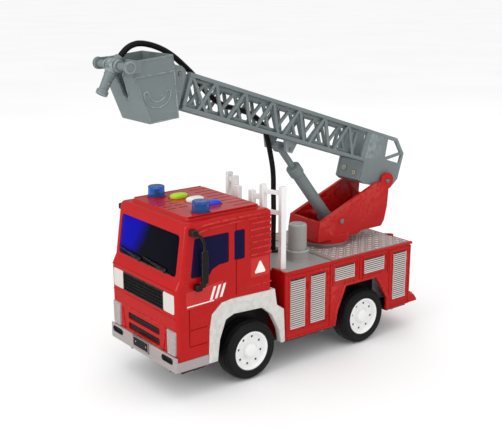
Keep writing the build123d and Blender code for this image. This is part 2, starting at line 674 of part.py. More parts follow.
with BuildPart() as rear_body_shell:
    with Locations((BODY_MID_X, 0, 0.5 * (BODY_Z + DECK_Z))):
        Box(BODY_LENGTH, 2 * HALF_W, DECK_Z - BODY_Z)
    fillet(rear_body_shell.edges().filter_by(Axis.Z), 3.0)
    with Locations((BODY_MID_X, 0, 0.5 * (BODY_Z + DECK_Z))):
        Box(BODY_LENGTH - 2 * WALL, 2 * (HALF_W - WALL), DECK_Z, mode=Mode.SUBTRACT)
    # ledge that carries the decks
    with BuildSketch(Plane.XY.offset(76.4)):
        with Locations((BODY_MID_X, 0)):
            Rectangle(BODY_LENGTH - 2.0, 2 * HALF_W - 2.0)
            Rectangle(BODY_LENGTH - 9.0, 2 * HALF_W - 9.0, mode=Mode.SUBTRACT)
    extrude(amount=2.8)
    # panel recesses
    for y in (HALF_W + 1.0, -HALF_W + 1.2):
        with BuildSketch(side_plane(y)):
            add(shutter_face(0.2))
        extrude(amount=2.2, mode=Mode.SUBTRACT)
    with BuildSketch(Plane.YZ.offset(BODY_REAR_X)):
        with Locations((0, REAR_SHUTTER[2])):
            Rectangle(REAR_SHUTTER[0] + 0.4, REAR_SHUTTER[1] + 0.4)
    extrude(amount=1.2, mode=Mode.SUBTRACT)
    with BuildSketch(side_plane(HALF_W + 1.0)):
        with BuildLine():
            Polyline(*REAR_ARCH, close=True)
        make_face()
    extrude(amount=2 * HALF_W + 2.0, mode=Mode.SUBTRACT)
    # notch for the deck's front tongue
    with Locations((BODY_FRONT_X, 0, DECK_Z)):
        Box(8.0, 57.0, 2 * (DECK_Z - 79.2), mode=Mode.SUBTRACT)
    # screw posts on the side walls
    for x, y in SCREW_PLACES[:4]:
        with Locations((x, y, 44.0)):
            Cylinder(3.2, 40.0)
        with Locations((x, y + (3.0 if y > 0 else -3.0), 44.0)):
            Box(2.0, 4.6, 40.0)
        with Locations((x, y, 30.0)):
            Cylinder(1.4, 16.0, mode=Mode.SUBTRACT)
rear_body_shell.part.label = "rear_body_shell"
export_step(rear_body_shell.part, "parts/rear_body_shell.step")

with BuildPart() as roller_shutters:
    for y in (HALF_W, -HALF_W + 1.2):
        with BuildSketch(side_plane(y)):
            add(shutter_face(0.0))
        extrude(amount=1.2)
    with BuildSketch(Plane.YZ.offset(BODY_REAR_X)):
        with Locations((0, REAR_SHUTTER[2])):
            Rectangle(REAR_SHUTTER[0], REAR_SHUTTER[1])
    extrude(amount=1.2)
roller_shutters.part.label = "roller_shutters"
export_step(roller_shutters.part, "parts/roller_shutters.step")

with BuildPart() as rear_step:
    with BuildSketch(Plane.XZ):
        with BuildLine():
            Polyline((BODY_REAR_X - 0.1, 24.0), (BODY_REAR_X - 0.1, 33.0), (-138.0, 31.2), (-142.0, 26.0),
                     (-142.0, 24.0), close=True)
        make_face()
    extrude(amount=HALF_W - 0.5, both=True)
rear_step.part.label = "rear_step"
export_step(rear_step.part, "parts/rear_step.step")

with BuildPart() as deck_plate:
    with BuildSketch(Plane.XY.offset(79.4)):
        with Locations((0.5 * (STEP_LINE_X + BODY_FRONT_X - WALL - 0.2), 0)):
            Rectangle(BODY_FRONT_X - WALL - 0.2 - STEP_LINE_X, 90.0)
        with Locations((16.0, 0)):
            Rectangle(14.0, 56.4)
        with Locations(PUMP_XY):
            Circle(COLLAR_R - 1.0, mode=Mode.SUBTRACT)
        with Locations(HOSE_XY):
            Circle(4.0, mode=Mode.SUBTRACT)
    extrude(amount=2.0)
deck_plate.part.label = "deck_plate"
export_step(deck_plate.part, "parts/deck_plate.step")

with BuildPart() as tread_plate:
    with BuildSketch(Plane.XY.offset(79.4)):
        with Locations((0.5 * (BODY_REAR_X + WALL + STEP_LINE_X), 0)):
            Rectangle(STEP_LINE_X - BODY_REAR_X - WALL - 0.6, 90.0)
    extrude(amount=3.0)
    with BuildSketch(Plane.XY.offset(82.0)):
        with Locations((TABLE_X, 0)):
            Circle(20.0)
    extrude(amount=3.6)
    with BuildSketch(Plane.XY.offset(79.0)):
        with Locations((TABLE_X, 0)):
            Circle(NECK_R)
    extrude(amount=8.0, mode=Mode.SUBTRACT)
tread_plate.part.label = "tread_plate"
export_step(tread_plate.part, "parts/tread_plate.step")

# ---- ladder racks behind the cab ----
RACK_TOP = 150.0
RACK_FOOT = 81.4
RACK_POSTS = [(8.4, 35.5, 5.4, 4.2, RACK_TOP), (14.6, 18.8, 5.4, 4.2, RACK_TOP), (18.6, 9.4, 4.6, 5.0, 144.0)]
with BuildPart() as ladder_racks:
    for side in SIDES:
        for x, y, dx, dy, top in RACK_POSTS:
            with BuildSketch(Plane.XY.offset(RACK_FOOT)):
                with Locations((x, side * y)):
                    RectangleRounded(dx, dy, 0.6)
            extrude(amount=top - RACK_FOOT)
        for low, high in ((142.6, 146.0), (126.2, 129.6)):
            with BuildSketch(Plane.XY.offset(low)):
                with BuildLine():
                    Line((8.4, side * 35.5), (14.6, side * 18.8))
                trace(line_width=2.6)
            extrude(amount=high - low)
        for low, high in ((137.0, 141.0), (122.0, 125.0)):
            with BuildSketch(Plane.XY.offset(low)):
                with BuildLine():
                    Line((14.6, side * 18.8), (18.6, side * 9.4))
                trace(line_width=2.6)
            extrude(amount=high - low)
ladder_racks.part.label = "ladder_racks"
export_step(ladder_racks.part, "parts/ladder_racks.step")

# ---- water pump, tank and hose outlet ----
PLUNGER_R = 7.8
PLUNGER_TOP = 112.0
PLUNGER_FOOT = 64.0
PUMP_FLOOR = 46.0
with BuildPart() as pump_collar:
    with BuildSketch(Plane.XY.offset(RACK_FOOT)):
        with Locations(PUMP_XY):
            Circle(COLLAR_R)
    extrude(amount=8.8)
    fillet(pump_collar.edges().group_by(Axis.Z)[-1], 0.8)
    with BuildSketch(Plane.XY.offset(PUMP_FLOOR - 2.0)):
        with Locations(PUMP_XY):
            Circle(COLLAR_R - 1.1)
    extrude(amount=RACK_FOOT - PUMP_FLOOR + 2.0)
    with BuildSketch(Plane.XY.offset(PUMP_FLOOR)):
        with Locations(PUMP_XY):
            Circle(PLUNGER_R + RUNNING)
    extrude(amount=50.0, mode=Mode.SUBTRACT)
pump_collar.part.label = "pump_collar"
export_step(pump_collar.part, "parts/pump_collar.step")

with BuildPart() as pump_plunger:
    with BuildSketch(Plane.XY.offset(PLUNGER_FOOT)):
        with Locations(PUMP_XY):
            Circle(PLUNGER_R)
    extrude(amount=PLUNGER_TOP - PLUNGER_FOOT)
    fillet(pump_plunger.edges().group_by(Axis.Z)[-1], 1.4)
pump_plunger.part.label = "pump_plunger"
export_step(pump_plunger.part, "parts/pump_plunger.step")

SPRING_R = 4.6
SPRING_TURNS = 5
with BuildPart() as pump_spring:
    with BuildLine(Plane(origin=(PUMP_XY[0], PUMP_XY[1], PUMP_FLOOR + 0.7))) as spring_line:
        Helix(pitch=(PLUNGER_FOOT - PUMP_FLOOR - 1.4) / SPRING_TURNS,
              height=PLUNGER_FOOT - PUMP_FLOOR - 1.4, radius=SPRING_R)
    with BuildSketch(Plane(origin=spring_line.line @ 0, z_dir=spring_line.line % 0)):
        Circle(0.55)
    sweep(path=spring_line.line, is_frenet=True)
pump_spring.part.label = "pump_spring"
export_step(pump_spring.part, "parts/pump_spring.step")

with BuildPart() as water_tank:
    with Locations((-115.0, 0, 48.0)):
        Box(24.0, 50.0, 48.0)
    fillet(water_tank.edges(), 3.0)
    with BuildSketch(Plane.XY.offset(71.0)):
        with Locations((-115.0, 15.0)):
            Circle(4.0)
    extrude(amount=4.0)
water_tank.part.label = "water_tank"
export_step(water_tank.part, "parts/water_tank.step")

with BuildPart() as hose_outlet:
    with BuildSketch(Plane.XY.offset(RACK_FOOT)):
        with Locations(HOSE_XY):
            Circle(5.6)
    extrude(amount=2.4)
    with BuildSketch(Plane.XY.offset(75.0)):
        with Locations(HOSE_XY):
            Circle(3.95)
    extrude(amount=RACK_FOOT - 75.0)
    with BuildSketch(Plane.XY.offset(HOSE_FOOT)):
        with Locations(HOSE_XY):
            Circle(HOSE_R + 0.1)
    extrude(amount=8.0, mode=Mode.SUBTRACT)
hose_outlet.part.label = "hose_outlet"
export_step(hose_outlet.part, "parts/hose_outlet.step")

# ---- turntable ----
CHEEK = [(-44.4, 90.0), (-44.4, 95.5), (-46.5, 107.5), (-110.9, 132.4), (-120.0, 133.0), (-128.5, 125.5),
         (-127.3, 109.7), (-124.1, 97.2), (-120.5, 92.2), (-95.4, 92.2), (-91.7, 90.0)]
TABLE_Z = 86.0
LUG_R = 7.4
with BuildPart() as turntable:
    with BuildSketch(Plane.XY.offset(TABLE_Z)):
        with Locations((TABLE_X, 0)):
            Circle(22.5)
    extrude(amount=8.0)
    for y in (CHEEK_OUT, -CHEEK_IN):
        with BuildSketch(side_plane(y)):
            with BuildLine():
                Polyline(*CHEEK, close=True)
            make_face()
            with Locations((PIVOT_X, PIVOT_Z)):
                Circle(LUG_R)
        extrude(amount=CHEEK_OUT - CHEEK_IN)
    # floor, front wall and rear wall between the cheeks
    with BuildSketch(side_plane(CHEEK_OUT - 0.5)):
        with BuildLine():
            Polyline((-44.4, 90.0), (-44.4, 95.5), (-46.5, 107.5), (-49.5, 107.5), (-47.6, 94.0), (-118.0, 94.0),
                     (-121.2, 98.0), (-124.3, 109.7), (-125.0, 116.0), (-127.8, 116.0), (-127.3, 109.7),
                     (-124.1, 97.2), (-120.5, 92.2), (-95.4, 92.2), (-91.7, 90.0), close=True)
        make_face()
    extrude(amount=2 * CHEEK_OUT - 1.0)
    # bosses that carry the lower end of the lift cylinder
    for y in (CHEEK_OUT - 0.5, -8.0):
        with BuildSketch(side_plane(y)):
            with Locations((FOOT_X, FOOT_Z)):
                Circle(3.6)
        extrude(amount=11.5)
    with BuildSketch(Plane.XY.offset(TABLE_Z)):
        with Locations((TABLE_X, 0)):
            Circle(NECK_R - RUNNING)
    extrude(amount=-7.0)
    # bores
    with BuildSketch(side_plane(CHEEK_OUT + 1.0)):
        with Locations((PIVOT_X, PIVOT_Z)):
            Circle(PIVOT_R)
        with Locations((FOOT_X, FOOT_Z)):
            Circle(1.5)
    extrude(amount=2 * CHEEK_OUT + 2.0, mode=Mode.SUBTRACT)
turntable.part.label = "turntable"
export_step(turntable.part, "parts/turntable.step")

with BuildPart() as swivel_retainer:
    with BuildSketch(Plane.XY.offset(76.9)):
        with Locations((TABLE_X, 0)):
            Circle(18.0)
    extrude(amount=2.1)
    with BuildSketch(Plane.XY.offset(74.6)):
        with Locations((TABLE_X, 0)):
            Circle(4.0)
    extrude(amount=2.3)
swivel_retainer.part.label = "swivel_retainer"
export_step(swivel_retainer.part, "parts/swivel_retainer.step")

# ladder pivot pin and the two short bolts of the lift cylinder
with BuildPart() as turntable_pins:
    with BuildSketch(side_plane(CHEEK_OUT + 0.8)):
        with Locations((PIVOT_X, PIVOT_Z)):
            Circle(PIVOT_R)
    extrude(amount=2 * CHEEK_OUT + 1.6)
    fillet(turntable_pins.edges().filter_by(GeomType.CIRCLE), 0.4)
    for y in (21.0, -9.0):
        with BuildSketch(side_plane(y)):
            with Locations((FOOT_X, FOOT_Z)):
                Circle(1.5)
        extrude(amount=12.0)
    for y in (21.2, -20.0):
        with BuildSketch(side_plane(y)):
            with Locations((FOOT_X, FOOT_Z)):
                Circle(2.3)
        extrude(amount=1.2)
turntable_pins.part.label = "turntable_pins"
export_step(turntable_pins.part, "parts/turntable_pins.step")

# ---- lift cylinder ----
BARREL_R = 5.25
COLLAR_TOP = 63.4
with BuildPart() as lift_barrel:
    with BuildSketch(CYLINDER_PLANE.offset(-1.0)):
        Circle(BARREL_R)
    extrude(amount=COLLAR_TOP - 4.0)
    with BuildSketch(CYLINDER_PLANE.offset(COLLAR_TOP - 9.0)):
        Circle(6.3)
    extrude(amount=9.0)
    fillet(lift_barrel.edges().filter_by(GeomType.CIRCLE).filter_by(lambda e: e.radius > 6.0), 0.9)
    with BuildSketch(side_plane(5.2)):
        with Locations((FOOT_X, FOOT_Z)):
            Circle(BARREL_R)
    extrude(amount=10.4)
    with BuildSketch(CYLINDER_PLANE.offset(8.0)):
        Circle(ROD_R + RUNNING)
    extrude(amount=COLLAR_TOP, mode=Mode.SUBTRACT)
lift_barrel.part.label = "lift_barrel"
export_step(lift_barrel.part, "parts/lift_barrel.step")

ROD_LENGTH = 60.0
with BuildPart() as lift_rod:
    with BuildSketch(CYLINDER_PLANE.offset(CYLINDER_LENGTH - ROD_LENGTH)):
        Circle(ROD_R)
    extrude(amount=ROD_LENGTH - 2.5)
    with BuildSketch(side_plane(3.4)):
        with Locations((EYE_X, EYE_Z)):
            Circle(4.5)
    extrude(amount=6.8)
    with BuildSketch(side_plane(4.0)):
        with Locations((EYE_X, EYE_Z)):
            Circle(AXLE_R + RUNNING)
    extrude(amount=8.0, mode=Mode.SUBTRACT)
lift_rod.part.label = "lift_rod"
export_step(lift_rod.part, "parts/lift_rod.step")

with BuildPart() as rod_pin:
    with BuildSketch(side_plane(15.0)):
        with Locations((EYE_X, EYE_Z)):
            Circle(AXLE_R)
    extrude(amount=30.0)
rod_pin.part.label = "rod_pin"
export_step(rod_pin.part, "parts/rod_pin.step")

# ---- outer ladder ----
RUNG_PLACES = [53.0 + TRUSS_PITCH * k for k in range(7)]
NODE_TOP = 206.0
FRAME_TAIL = [(-2.8, RAIL_HIGH), (-16.0, 27.6), (-16.4, 4.0), (-9.6, -6.3), (8.5, -6.9), (25.3, -8.1), (29.9, -6.2),
              (30.9, RAIL_LOW), (36.0, RAIL_LOW), (36.0, RAIL_HIGH)]


def truss_legs(low, high, first, count, lean):
    """End points of the upright-leaning and the slanting leg below each top joint."""
    legs = []
    for k in range(count):
        top = first - TRUSS_PITCH * k
        legs.append(((top, high - 1.5), (top + lean, low + 1.5)))
        legs.append(((top, high - 1.5), (top - lean - 2.0, low + 1.5)))
    return legs


with BuildPart() as ladder_outer:
    for y in LADDER_SIDES:
        with BuildSketch(ladder_plane(y)):
            with BuildLine():
                Polyline(*FRAME_TAIL, close=True)
            make_face()
            with BuildLine():
                Polyline((6.5, 18.0), (8.6, 35.8), (-1.4, 35.8), (-13.2, 25.6), (-13.2, 18.0), close=True)
            make_face(mode=Mode.SUBTRACT)
            with BuildLine():
                Line((-14.5, 28.0), (8.5, 17.0))
            trace(line_width=2.4)
            with Locations((0, 0)):
                Circle(PIVOT_R + RUNNING, mode=Mode.SUBTRACT)
            for start, end in truss_legs(RAIL_LOW, RAIL_HIGH, NODE_TOP, 6, 11.0):
                with BuildLine():
                    Line(start, end)
                trace(line_width=2.4)
            with Locations((LADDER_LENGTH - 1.5, 0.5 * (RAIL_LOW + RAIL_HIGH))):
                Rectangle(3.0, RAIL_HIGH - RAIL_LOW)
            with BuildLine():
                Line((LADDER_LENGTH - 2.0, RAIL_HIGH - 1.5), (208.0, RAIL_LOW + 2.0))
            trace(line_width=2.4)
        extrude(amount=2.6)
    # rails, deeper than the legs so that they guide the inner ladder
    for y in (LADDER_HALF_W + 0.6, -11.0):
        for t in (RAIL_LOW, RAIL_HIGH - RAIL):
            with BuildSketch(ladder_plane(y)):
                with Locations((0.5 * (LADDER_LENGTH + 31.0), t + 0.5 * RAIL)):
                    Rectangle(LADDER_LENGTH - 31.0, RAIL)
            extrude(amount=5.6)
    # rungs
    for s in RUNG_PLACES:
        with BuildSketch(ladder_plane(13.6)):
            with Locations((s, RAIL_LOW + 1.2)):
                Rectangle(2.6, 2.4)
        extrude(amount=27.2)
    # lugs for the rod pin
    for y in (14.5, -11.5):
        with BuildSketch(ladder_plane(y)):
            with BuildLine():
                Polyline((110.8, 11.5), (125.2, 11.5), (120.3, 1.2), (113.6, 1.2), close=True)
            make_face()
            with Locations((EYE_S, EYE_T)):
                Circle(AXLE_R, mode=Mode.SUBTRACT)
        extrude(amount=3.0)
ladder_outer.part.label = "ladder_outer"
export_step(ladder_outer.part, "parts/ladder_outer.step")

with BuildPart() as ladder_mount:
    with BuildSketch(ladder_plane(13.2)):
        with BuildLine():
            Polyline((-8.0, -6.0), (8.5, -6.7), (25.3, -7.9), (29.7, -6.0), (30.7, 10.6), (-8.0, 10.6), close=True)
        make_face()
        with BuildLine():
            Polyline((4.5, -3.6), (24.6, -5.0), (27.2, -4.0), (27.9, 8.2), (4.5, 8.2), close=True)
        make_face(mode=Mode.SUBTRACT)
        with Locations((0, 0)):
            Circle(PIVOT_R + RUNNING, mode=Mode.SUBTRACT)
    extrude(amount=26.4)
ladder_mount.part.label = "ladder_mount"
export_step(ladder_mount.part, "parts/ladder_mount.step")

FACE_TURN = LADDER_ANGLE - 3.4
FACE_POINT = ladder_point(30.3, 2.2)
MOUNT_FACE = Plane(origin=(FACE_POINT[0], 0, FACE_POINT[1]), x_dir=(0, 1, 0),
                   z_dir=(cos(radians(FACE_TURN)), 0, sin(radians(FACE_TURN))))
with BuildPart() as mount_screws:
    with BuildSketch(MOUNT_FACE.offset(0.15)):
        with Locations((-6.5, 0), (6.5, -2.5)):
            Circle(2.2)
            RegularPolygon(0.9, 4, mode=Mode.SUBTRACT)
    extrude(amount=0.9)
mount_screws.part.label = "mount_screws"
export_step(mount_screws.part, "parts/mount_screws.step")

# ---- inner ladder ----
INNER_LOW = 14.4
INNER_HIGH = 35.8
INNER_REAR = 44.0
INNER_RUNGS = [60.0 + TRUSS_PITCH * k for k in range(5)] + [226.8]
with BuildPart() as ladder_inner:
    for y in (12.9, -10.4):
        with BuildSketch(ladder_plane(y)):
            for t in (INNER_LOW + 1.2, INNER_HIGH - 1.2):
                with Locations((0.5 * (INNER_REAR + 230.0), t)):
                    Rectangle(230.0 - INNER_REAR, 2.4)
            for s in (INNER_REAR + 1.3, 228.7):
                with Locations((s, 0.5 * (INNER_LOW + INNER_HIGH))):
                    Rectangle(2.6, INNER_HIGH - INNER_LOW)
            for start, end in truss_legs(INNER_LOW, INNER_HIGH, 214.0, 6, 10.0):
                with BuildLine():
                    Line(start, end)
                trace(line_width=2.4)
            with BuildLine():
                Polyline((229.0, 18.0), (229.0, INNER_HIGH), (231.8, INNER_HIGH), (HINGE_S - 1.0, HINGE_T + 3.4),
                         (HINGE_S + 2.4, 33.0), close=True)
            make_face()
            with Locations((HINGE_S, HINGE_T)):
                Circle(3.6)
                Circle(AXLE_R + RUNNING, mode=Mode.SUBTRACT)
        extrude(amount=2.5)
    for s in INNER_RUNGS:
        with BuildSketch(ladder_plane(10.6)):
            with Locations((s, INNER_HIGH - 1.2)):
                Rectangle(2.4, 2.2)
        extrude(amount=21.2)
ladder_inner.part.label = "ladder_inner"
export_step(ladder_inner.part, "parts/ladder_inner.step")

# ---- basket ----
BASKET_WALL = 1.8
BASKET_LEVELS = ((0.0, 0.0, 25.0, 19.5), (34.6, 0.3, 34.7, 21.0), (46.5, 0.6, 31.5, 21.2))
EYE_U = 37.6
EYE_W = 42.9


def basket_level_plane(w):
    """Plane across the basket at the height w above its floor, x forward."""
    upright = basket_plane(0)
    return Plane(origin=upright.origin + upright.y_dir * w, x_dir=upright.x_dir, z_dir=upright.y_dir)


INNER_LEVELS = ((2.0, 0.1, 25.6, 19.6), BASKET_LEVELS[1], (48.0, 0.6, 31.1, 21.2))

with BuildPart() as basket:
    for pair in zip(BASKET_LEVELS, BASKET_LEVELS[1:]):
        for w, u0, u1, half in pair:
            with BuildSketch(basket_level_plane(w)):
                with Locations((0.5 * (u0 + u1), 0)):
                    Rectangle(u1 - u0, 2 * half)
        loft(ruled=True)
    for pair in zip(INNER_LEVELS, INNER_LEVELS[1:]):
        for w, u0, u1, half in pair:
            with BuildSketch(basket_level_plane(w)):
                with Locations((0.5 * (u0 + u1), 0)):
                    Rectangle(u1 - u0 - 2 * BASKET_WALL, 2 * (half - BASKET_WALL))
        loft(ruled=True, mode=Mode.SUBTRACT)
    # notch in the front wall where the nozzle swings
    with BuildSketch(Plane.YZ.offset(BASKET_X + 20.0)):
        with BuildLine():
            Polyline((-7.0, BASKET_Z + 50.0), (-4.0, BASKET_Z + 19.0), (4.0, BASKET_Z + 19.0),
                     (7.0, BASKET_Z + 50.0), close=True)
        make_face()
        with Locations((0, BASKET_Z + 19.0)):
            Circle(4.0)
    extrude(amount=30.0, mode=Mode.SUBTRACT)
    # curved hand slots in both sides
    with BuildSketch(basket_plane(24.0)):
        SlotArc(CenterArc((16.6, 22.4), 9.4, 195.0, 160.0), 3.6)
    extrude(amount=48.0, mode=Mode.SUBTRACT)
    # ears for the nozzle bar
    for y in (22.6, -19.8):
        with BuildSketch(basket_plane(y)):
            with BuildLine():
                Polyline((28.0, 46.4), (31.4, 46.6), (EYE_U, 46.9), (EYE_U + 1.0, 39.0), (33.4, 38.0), (29.0, 38.0),
                         close=True)
            make_face()
            with Locations((EYE_U, EYE_W)):
                Circle(4.3)
                Circle(2.8, mode=Mode.SUBTRACT)
        extrude(amount=2.8)
basket.part.label = "basket"
export_step(basket.part, "parts/basket.step")

BRACKET_PIN = basket_plane(0).to_local_coords(Vector(HINGE_X, 0, HINGE_Z))
with BuildPart() as basket_bracket:
    for y in (15.9, -13.2):
        with BuildSketch(basket_plane(y)):
            with BuildLine():
                Polyline((-0.1, 44.0), (-0.1, 2.0), (-1.4, 2.0), (-12.0, 29.0), (-9.9, 36.0), (-4.0, 38.0),
                         close=True)
            make_face()
            with Locations((BRACKET_PIN.X, BRACKET_PIN.Y)):
                Circle(5.4)
                Circle(AXLE_R, mode=Mode.SUBTRACT)
            with BuildLine():
                Polyline((-0.1, 50.0), (-0.1, 0.0), (5.0, 0.0), (5.0, 50.0), close=True)
            make_face(mode=Mode.SUBTRACT)
        extrude(amount=2.7)
    for w, height in ((7.0, 9.0), (43.0, 2.0)):
        with BuildSketch(basket_plane(15.0)):
            with Locations((-0.8, w)):
                Rectangle(1.4, height)
        extrude(amount=30.0)
basket_bracket.part.label = "basket_bracket"
export_step(basket_bracket.part, "parts/basket_bracket.step")

with BuildPart() as basket_pin:
    with BuildSketch(basket_plane(16.6)):
        with Locations((BRACKET_PIN.X, BRACKET_PIN.Y)):
            Circle(AXLE_R)
    extrude(amount=33.2)
basket_pin.part.label = "basket_pin"
export_step(basket_pin.part, "parts/basket_pin.step")

# ---- nozzle ----
BAR_R = 2.8
NOZZLE_LENGTH = 23.3
with BuildPart() as nozzle_bar:
    with BuildSketch(basket_plane(23.0)):
        with Locations((EYE_U, EYE_W)):
            Circle(BAR_R)
    extrude(amount=46.0)
nozzle_bar.part.label = "nozzle_bar"
export_step(nozzle_bar.part, "parts/nozzle_bar.step")

BAR_POINT = basket_plane(0).from_local_coords(Vector(EYE_U, EYE_W, 0))
NOZZLE_PLANE = Plane(origin=BAR_POINT, x_dir=(0, 1, 0),
                     z_dir=(cos(radians(NOZZLE_ANGLE)), 0, sin(radians(NOZZLE_ANGLE))))
TAIL_PLANE = Plane(origin=BAR_POINT, x_dir=(0, 1, 0), z_dir=(cos(radians(TAIL_ANGLE)), 0, sin(radians(TAIL_ANGLE))))
with BuildPart() as nozzle:
    with BuildSketch(tilted_plane(BAR_POINT.X, BAR_POINT.Z, 0.0, 4.6)):
        Circle(4.7)
    extrude(amount=9.2)
    with BuildSketch(NOZZLE_PLANE):
        Circle(4.3)
    extrude(amount=NOZZLE_LENGTH - 2.8, taper=2.6)
    with BuildSketch(NOZZLE_PLANE.offset(NOZZLE_LENGTH - 3.6)):
        Circle(4.4)
    extrude(amount=3.6)
    fillet(nozzle.edges().filter_by(GeomType.CIRCLE).filter_by(lambda e: abs(e.radius - 4.4) < 0.01), 0.7)
    with BuildSketch(TAIL_PLANE):
        Circle(3.5)
    extrude(amount=-7.6)
    with BuildSketch(NOZZLE_PLANE.offset(NOZZLE_LENGTH + 0.5)):
        Circle(1.4)
    extrude(amount=-12.0, mode=Mode.SUBTRACT)
    with BuildSketch(tilted_plane(BAR_POINT.X, BAR_POINT.Z, 0.0, 8.0)):
        Circle(BAR_R + RUNNING)
    extrude(amount=16.0, mode=Mode.SUBTRACT)
nozzle.part.label = "nozzle"
export_step(nozzle.part, "parts/nozzle.step")

# ---- hose ----
HOSE_ROUTES = {
    "hose_riser_lower": [(-17.0, -7.0, HOSE_FOOT), (-17.0, -7.0, 97.0), (-17.2, -6.8, 115.0),
                         (-17.05, -6.9, 124.0)],
    "hose_riser_upper": [(-17.05, -6.9, 124.0), (-16.9, -7.0, 133.0), (-16.6, -6.8, 151.0), (-13.2, -7.0, 168.0),
                         (-9.3, -6.9, 183.0), (-3.2, -6.6, 194.8), (7.5, -6.5, 202.6), (14.75, -6.45, 205.25)],
    "hose_in_ladder": [(14.75, -6.45, 205.25), (22.0, -6.4, 207.9), (36.5, -6.2, 211.6), (52.1, -5.8, 223.1),
                       (57.3, -5.5, 229.7)],
    "hose_arch_rear": [(57.3, -5.5, 229.7), (62.5, -5.2, 236.3), (72.5, -4.6, 245.0), (84.5, -3.9, 254.6),
                       (91.0, -3.55, 257.8)],
    "hose_arch_front": [(91.0, -3.55, 257.8), (97.5, -3.2, 261.0), (111.5, -2.2, 264.4), (120.2, -1.2, 263.2),
                        (126.3, -0.5, 259.8), (130.37, 0.0, 255.7)],
}


def bend_radii(route):
    """Arc radius at each inner corner of a route, as large as its two runs allow."""
    radii = []
    for before, corner, after in zip(route, route[1:], route[2:]):
        run_in = Vector(*corner) - Vector(*before)
        run_out = Vector(*after) - Vector(*corner)
        half_turn = radians(run_in.get_angle(run_out)) / 2
        radii.append(0.45 * min(run_in.length, run_out.length) / tan(half_turn))
    return radii


for name, route in HOSE_ROUTES.items():
    radii = bend_radii(route)
    with BuildPart() as hose:
        with BuildLine():
            hose_line = FilletPolyline(*route, radius=radii)
        with BuildSketch(Plane(origin=route[0], z_dir=Vector(*route[1]) - Vector(*route[0]))):
            Circle(HOSE_R)
        sweep(path=hose_line)
    expected = pi * HOSE_R ** 2 * hose_line.length
    print(name, "length", round(hose_line.length, 1), "radii", [round(r, 1) for r in radii],
          "volume ratio", round(hose.part.volume / expected, 4))
    hose.part.label = name
    export_step(hose.part, "parts/" + name + ".step")
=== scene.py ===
import json
import math

import bmesh
import bpy
from mathutils import Matrix, Vector


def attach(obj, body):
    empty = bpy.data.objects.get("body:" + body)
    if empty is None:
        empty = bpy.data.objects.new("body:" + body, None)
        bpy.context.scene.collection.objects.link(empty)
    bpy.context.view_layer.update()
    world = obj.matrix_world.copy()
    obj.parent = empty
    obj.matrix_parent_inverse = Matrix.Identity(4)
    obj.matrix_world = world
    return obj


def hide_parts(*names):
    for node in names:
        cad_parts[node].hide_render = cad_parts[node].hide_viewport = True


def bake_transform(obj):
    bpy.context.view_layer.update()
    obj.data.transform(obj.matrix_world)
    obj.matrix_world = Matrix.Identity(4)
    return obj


# Looks of the toy fire engine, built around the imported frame.
# Blender works in metres; every size below is in millimetres unless it says otherwise.
# Row frame: +X towards the cab, +Y to the vehicle's left, +Z up, the ground at Z = 0.

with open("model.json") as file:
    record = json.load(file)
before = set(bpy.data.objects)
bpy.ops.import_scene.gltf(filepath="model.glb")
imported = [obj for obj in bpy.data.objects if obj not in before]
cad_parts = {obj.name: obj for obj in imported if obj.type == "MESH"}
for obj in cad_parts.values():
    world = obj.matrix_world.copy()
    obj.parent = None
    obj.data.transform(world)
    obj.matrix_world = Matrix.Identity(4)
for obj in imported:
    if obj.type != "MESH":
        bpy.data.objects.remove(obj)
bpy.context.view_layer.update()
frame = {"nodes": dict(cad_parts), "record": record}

MM = 0.001
NODES = frame["nodes"]
NODE_BODY = {node: body for body, nodes in frame["record"]["behaviour"]["bodies"].items() for node in nodes}
SCENE = bpy.context.scene
SIDES = (1, -1)

# ---- places taken over from the CAD ----
HALF_W = 47.5
CAB_FRONT_X = 118.0
BODY_REAR_X = -131.3
GRILLE_Z = 77.3
SCREEN_TILT = 8.43
ROOF_Z = 140.5
BEACON_BASE_Z = 140.9
BEACONS = ((84.0, 31.0), (84.0, -31.0))
BUTTONS = {"green": (72.0, -17.0), "white": (68.0, 0.0), "blue": (64.5, 18.0)}
PUMP = (-20.0, 21.3)
BASKET = (94.1, 210.75)
BASKET_ANGLE = -5.5
BAR = (37.6, 42.9)
NOZZLE_ANGLE = -61.0
TAIL_ANGLE = -48.0
AXLES = {"front": 48.0, "rear": -74.8}
TYRE_R = 24.35
TABLE_X = -70.5
TREAD_Z = 82.4
SHUTTERS = ((-7.2, 9.0, 32.2, 74.6), (-29.0, -12.8, 32.8, 74.6), (-62.5, -39.3, 63.6, 75.9),
            (-98.0, -73.3, 63.2, 76.2), (-125.9, -108.9, 32.0, 75.0))
PANEL_FRAMES = ((-9.2, 10.8, 30.9, 78.7), (-31.4, -10.4, 30.9, 78.7), (-65.1, -36.8, 60.6, 79.2),
                (-100.3, -71.5, 60.6, 79.2), (-129.7, -104.4, 27.9, 79.0))

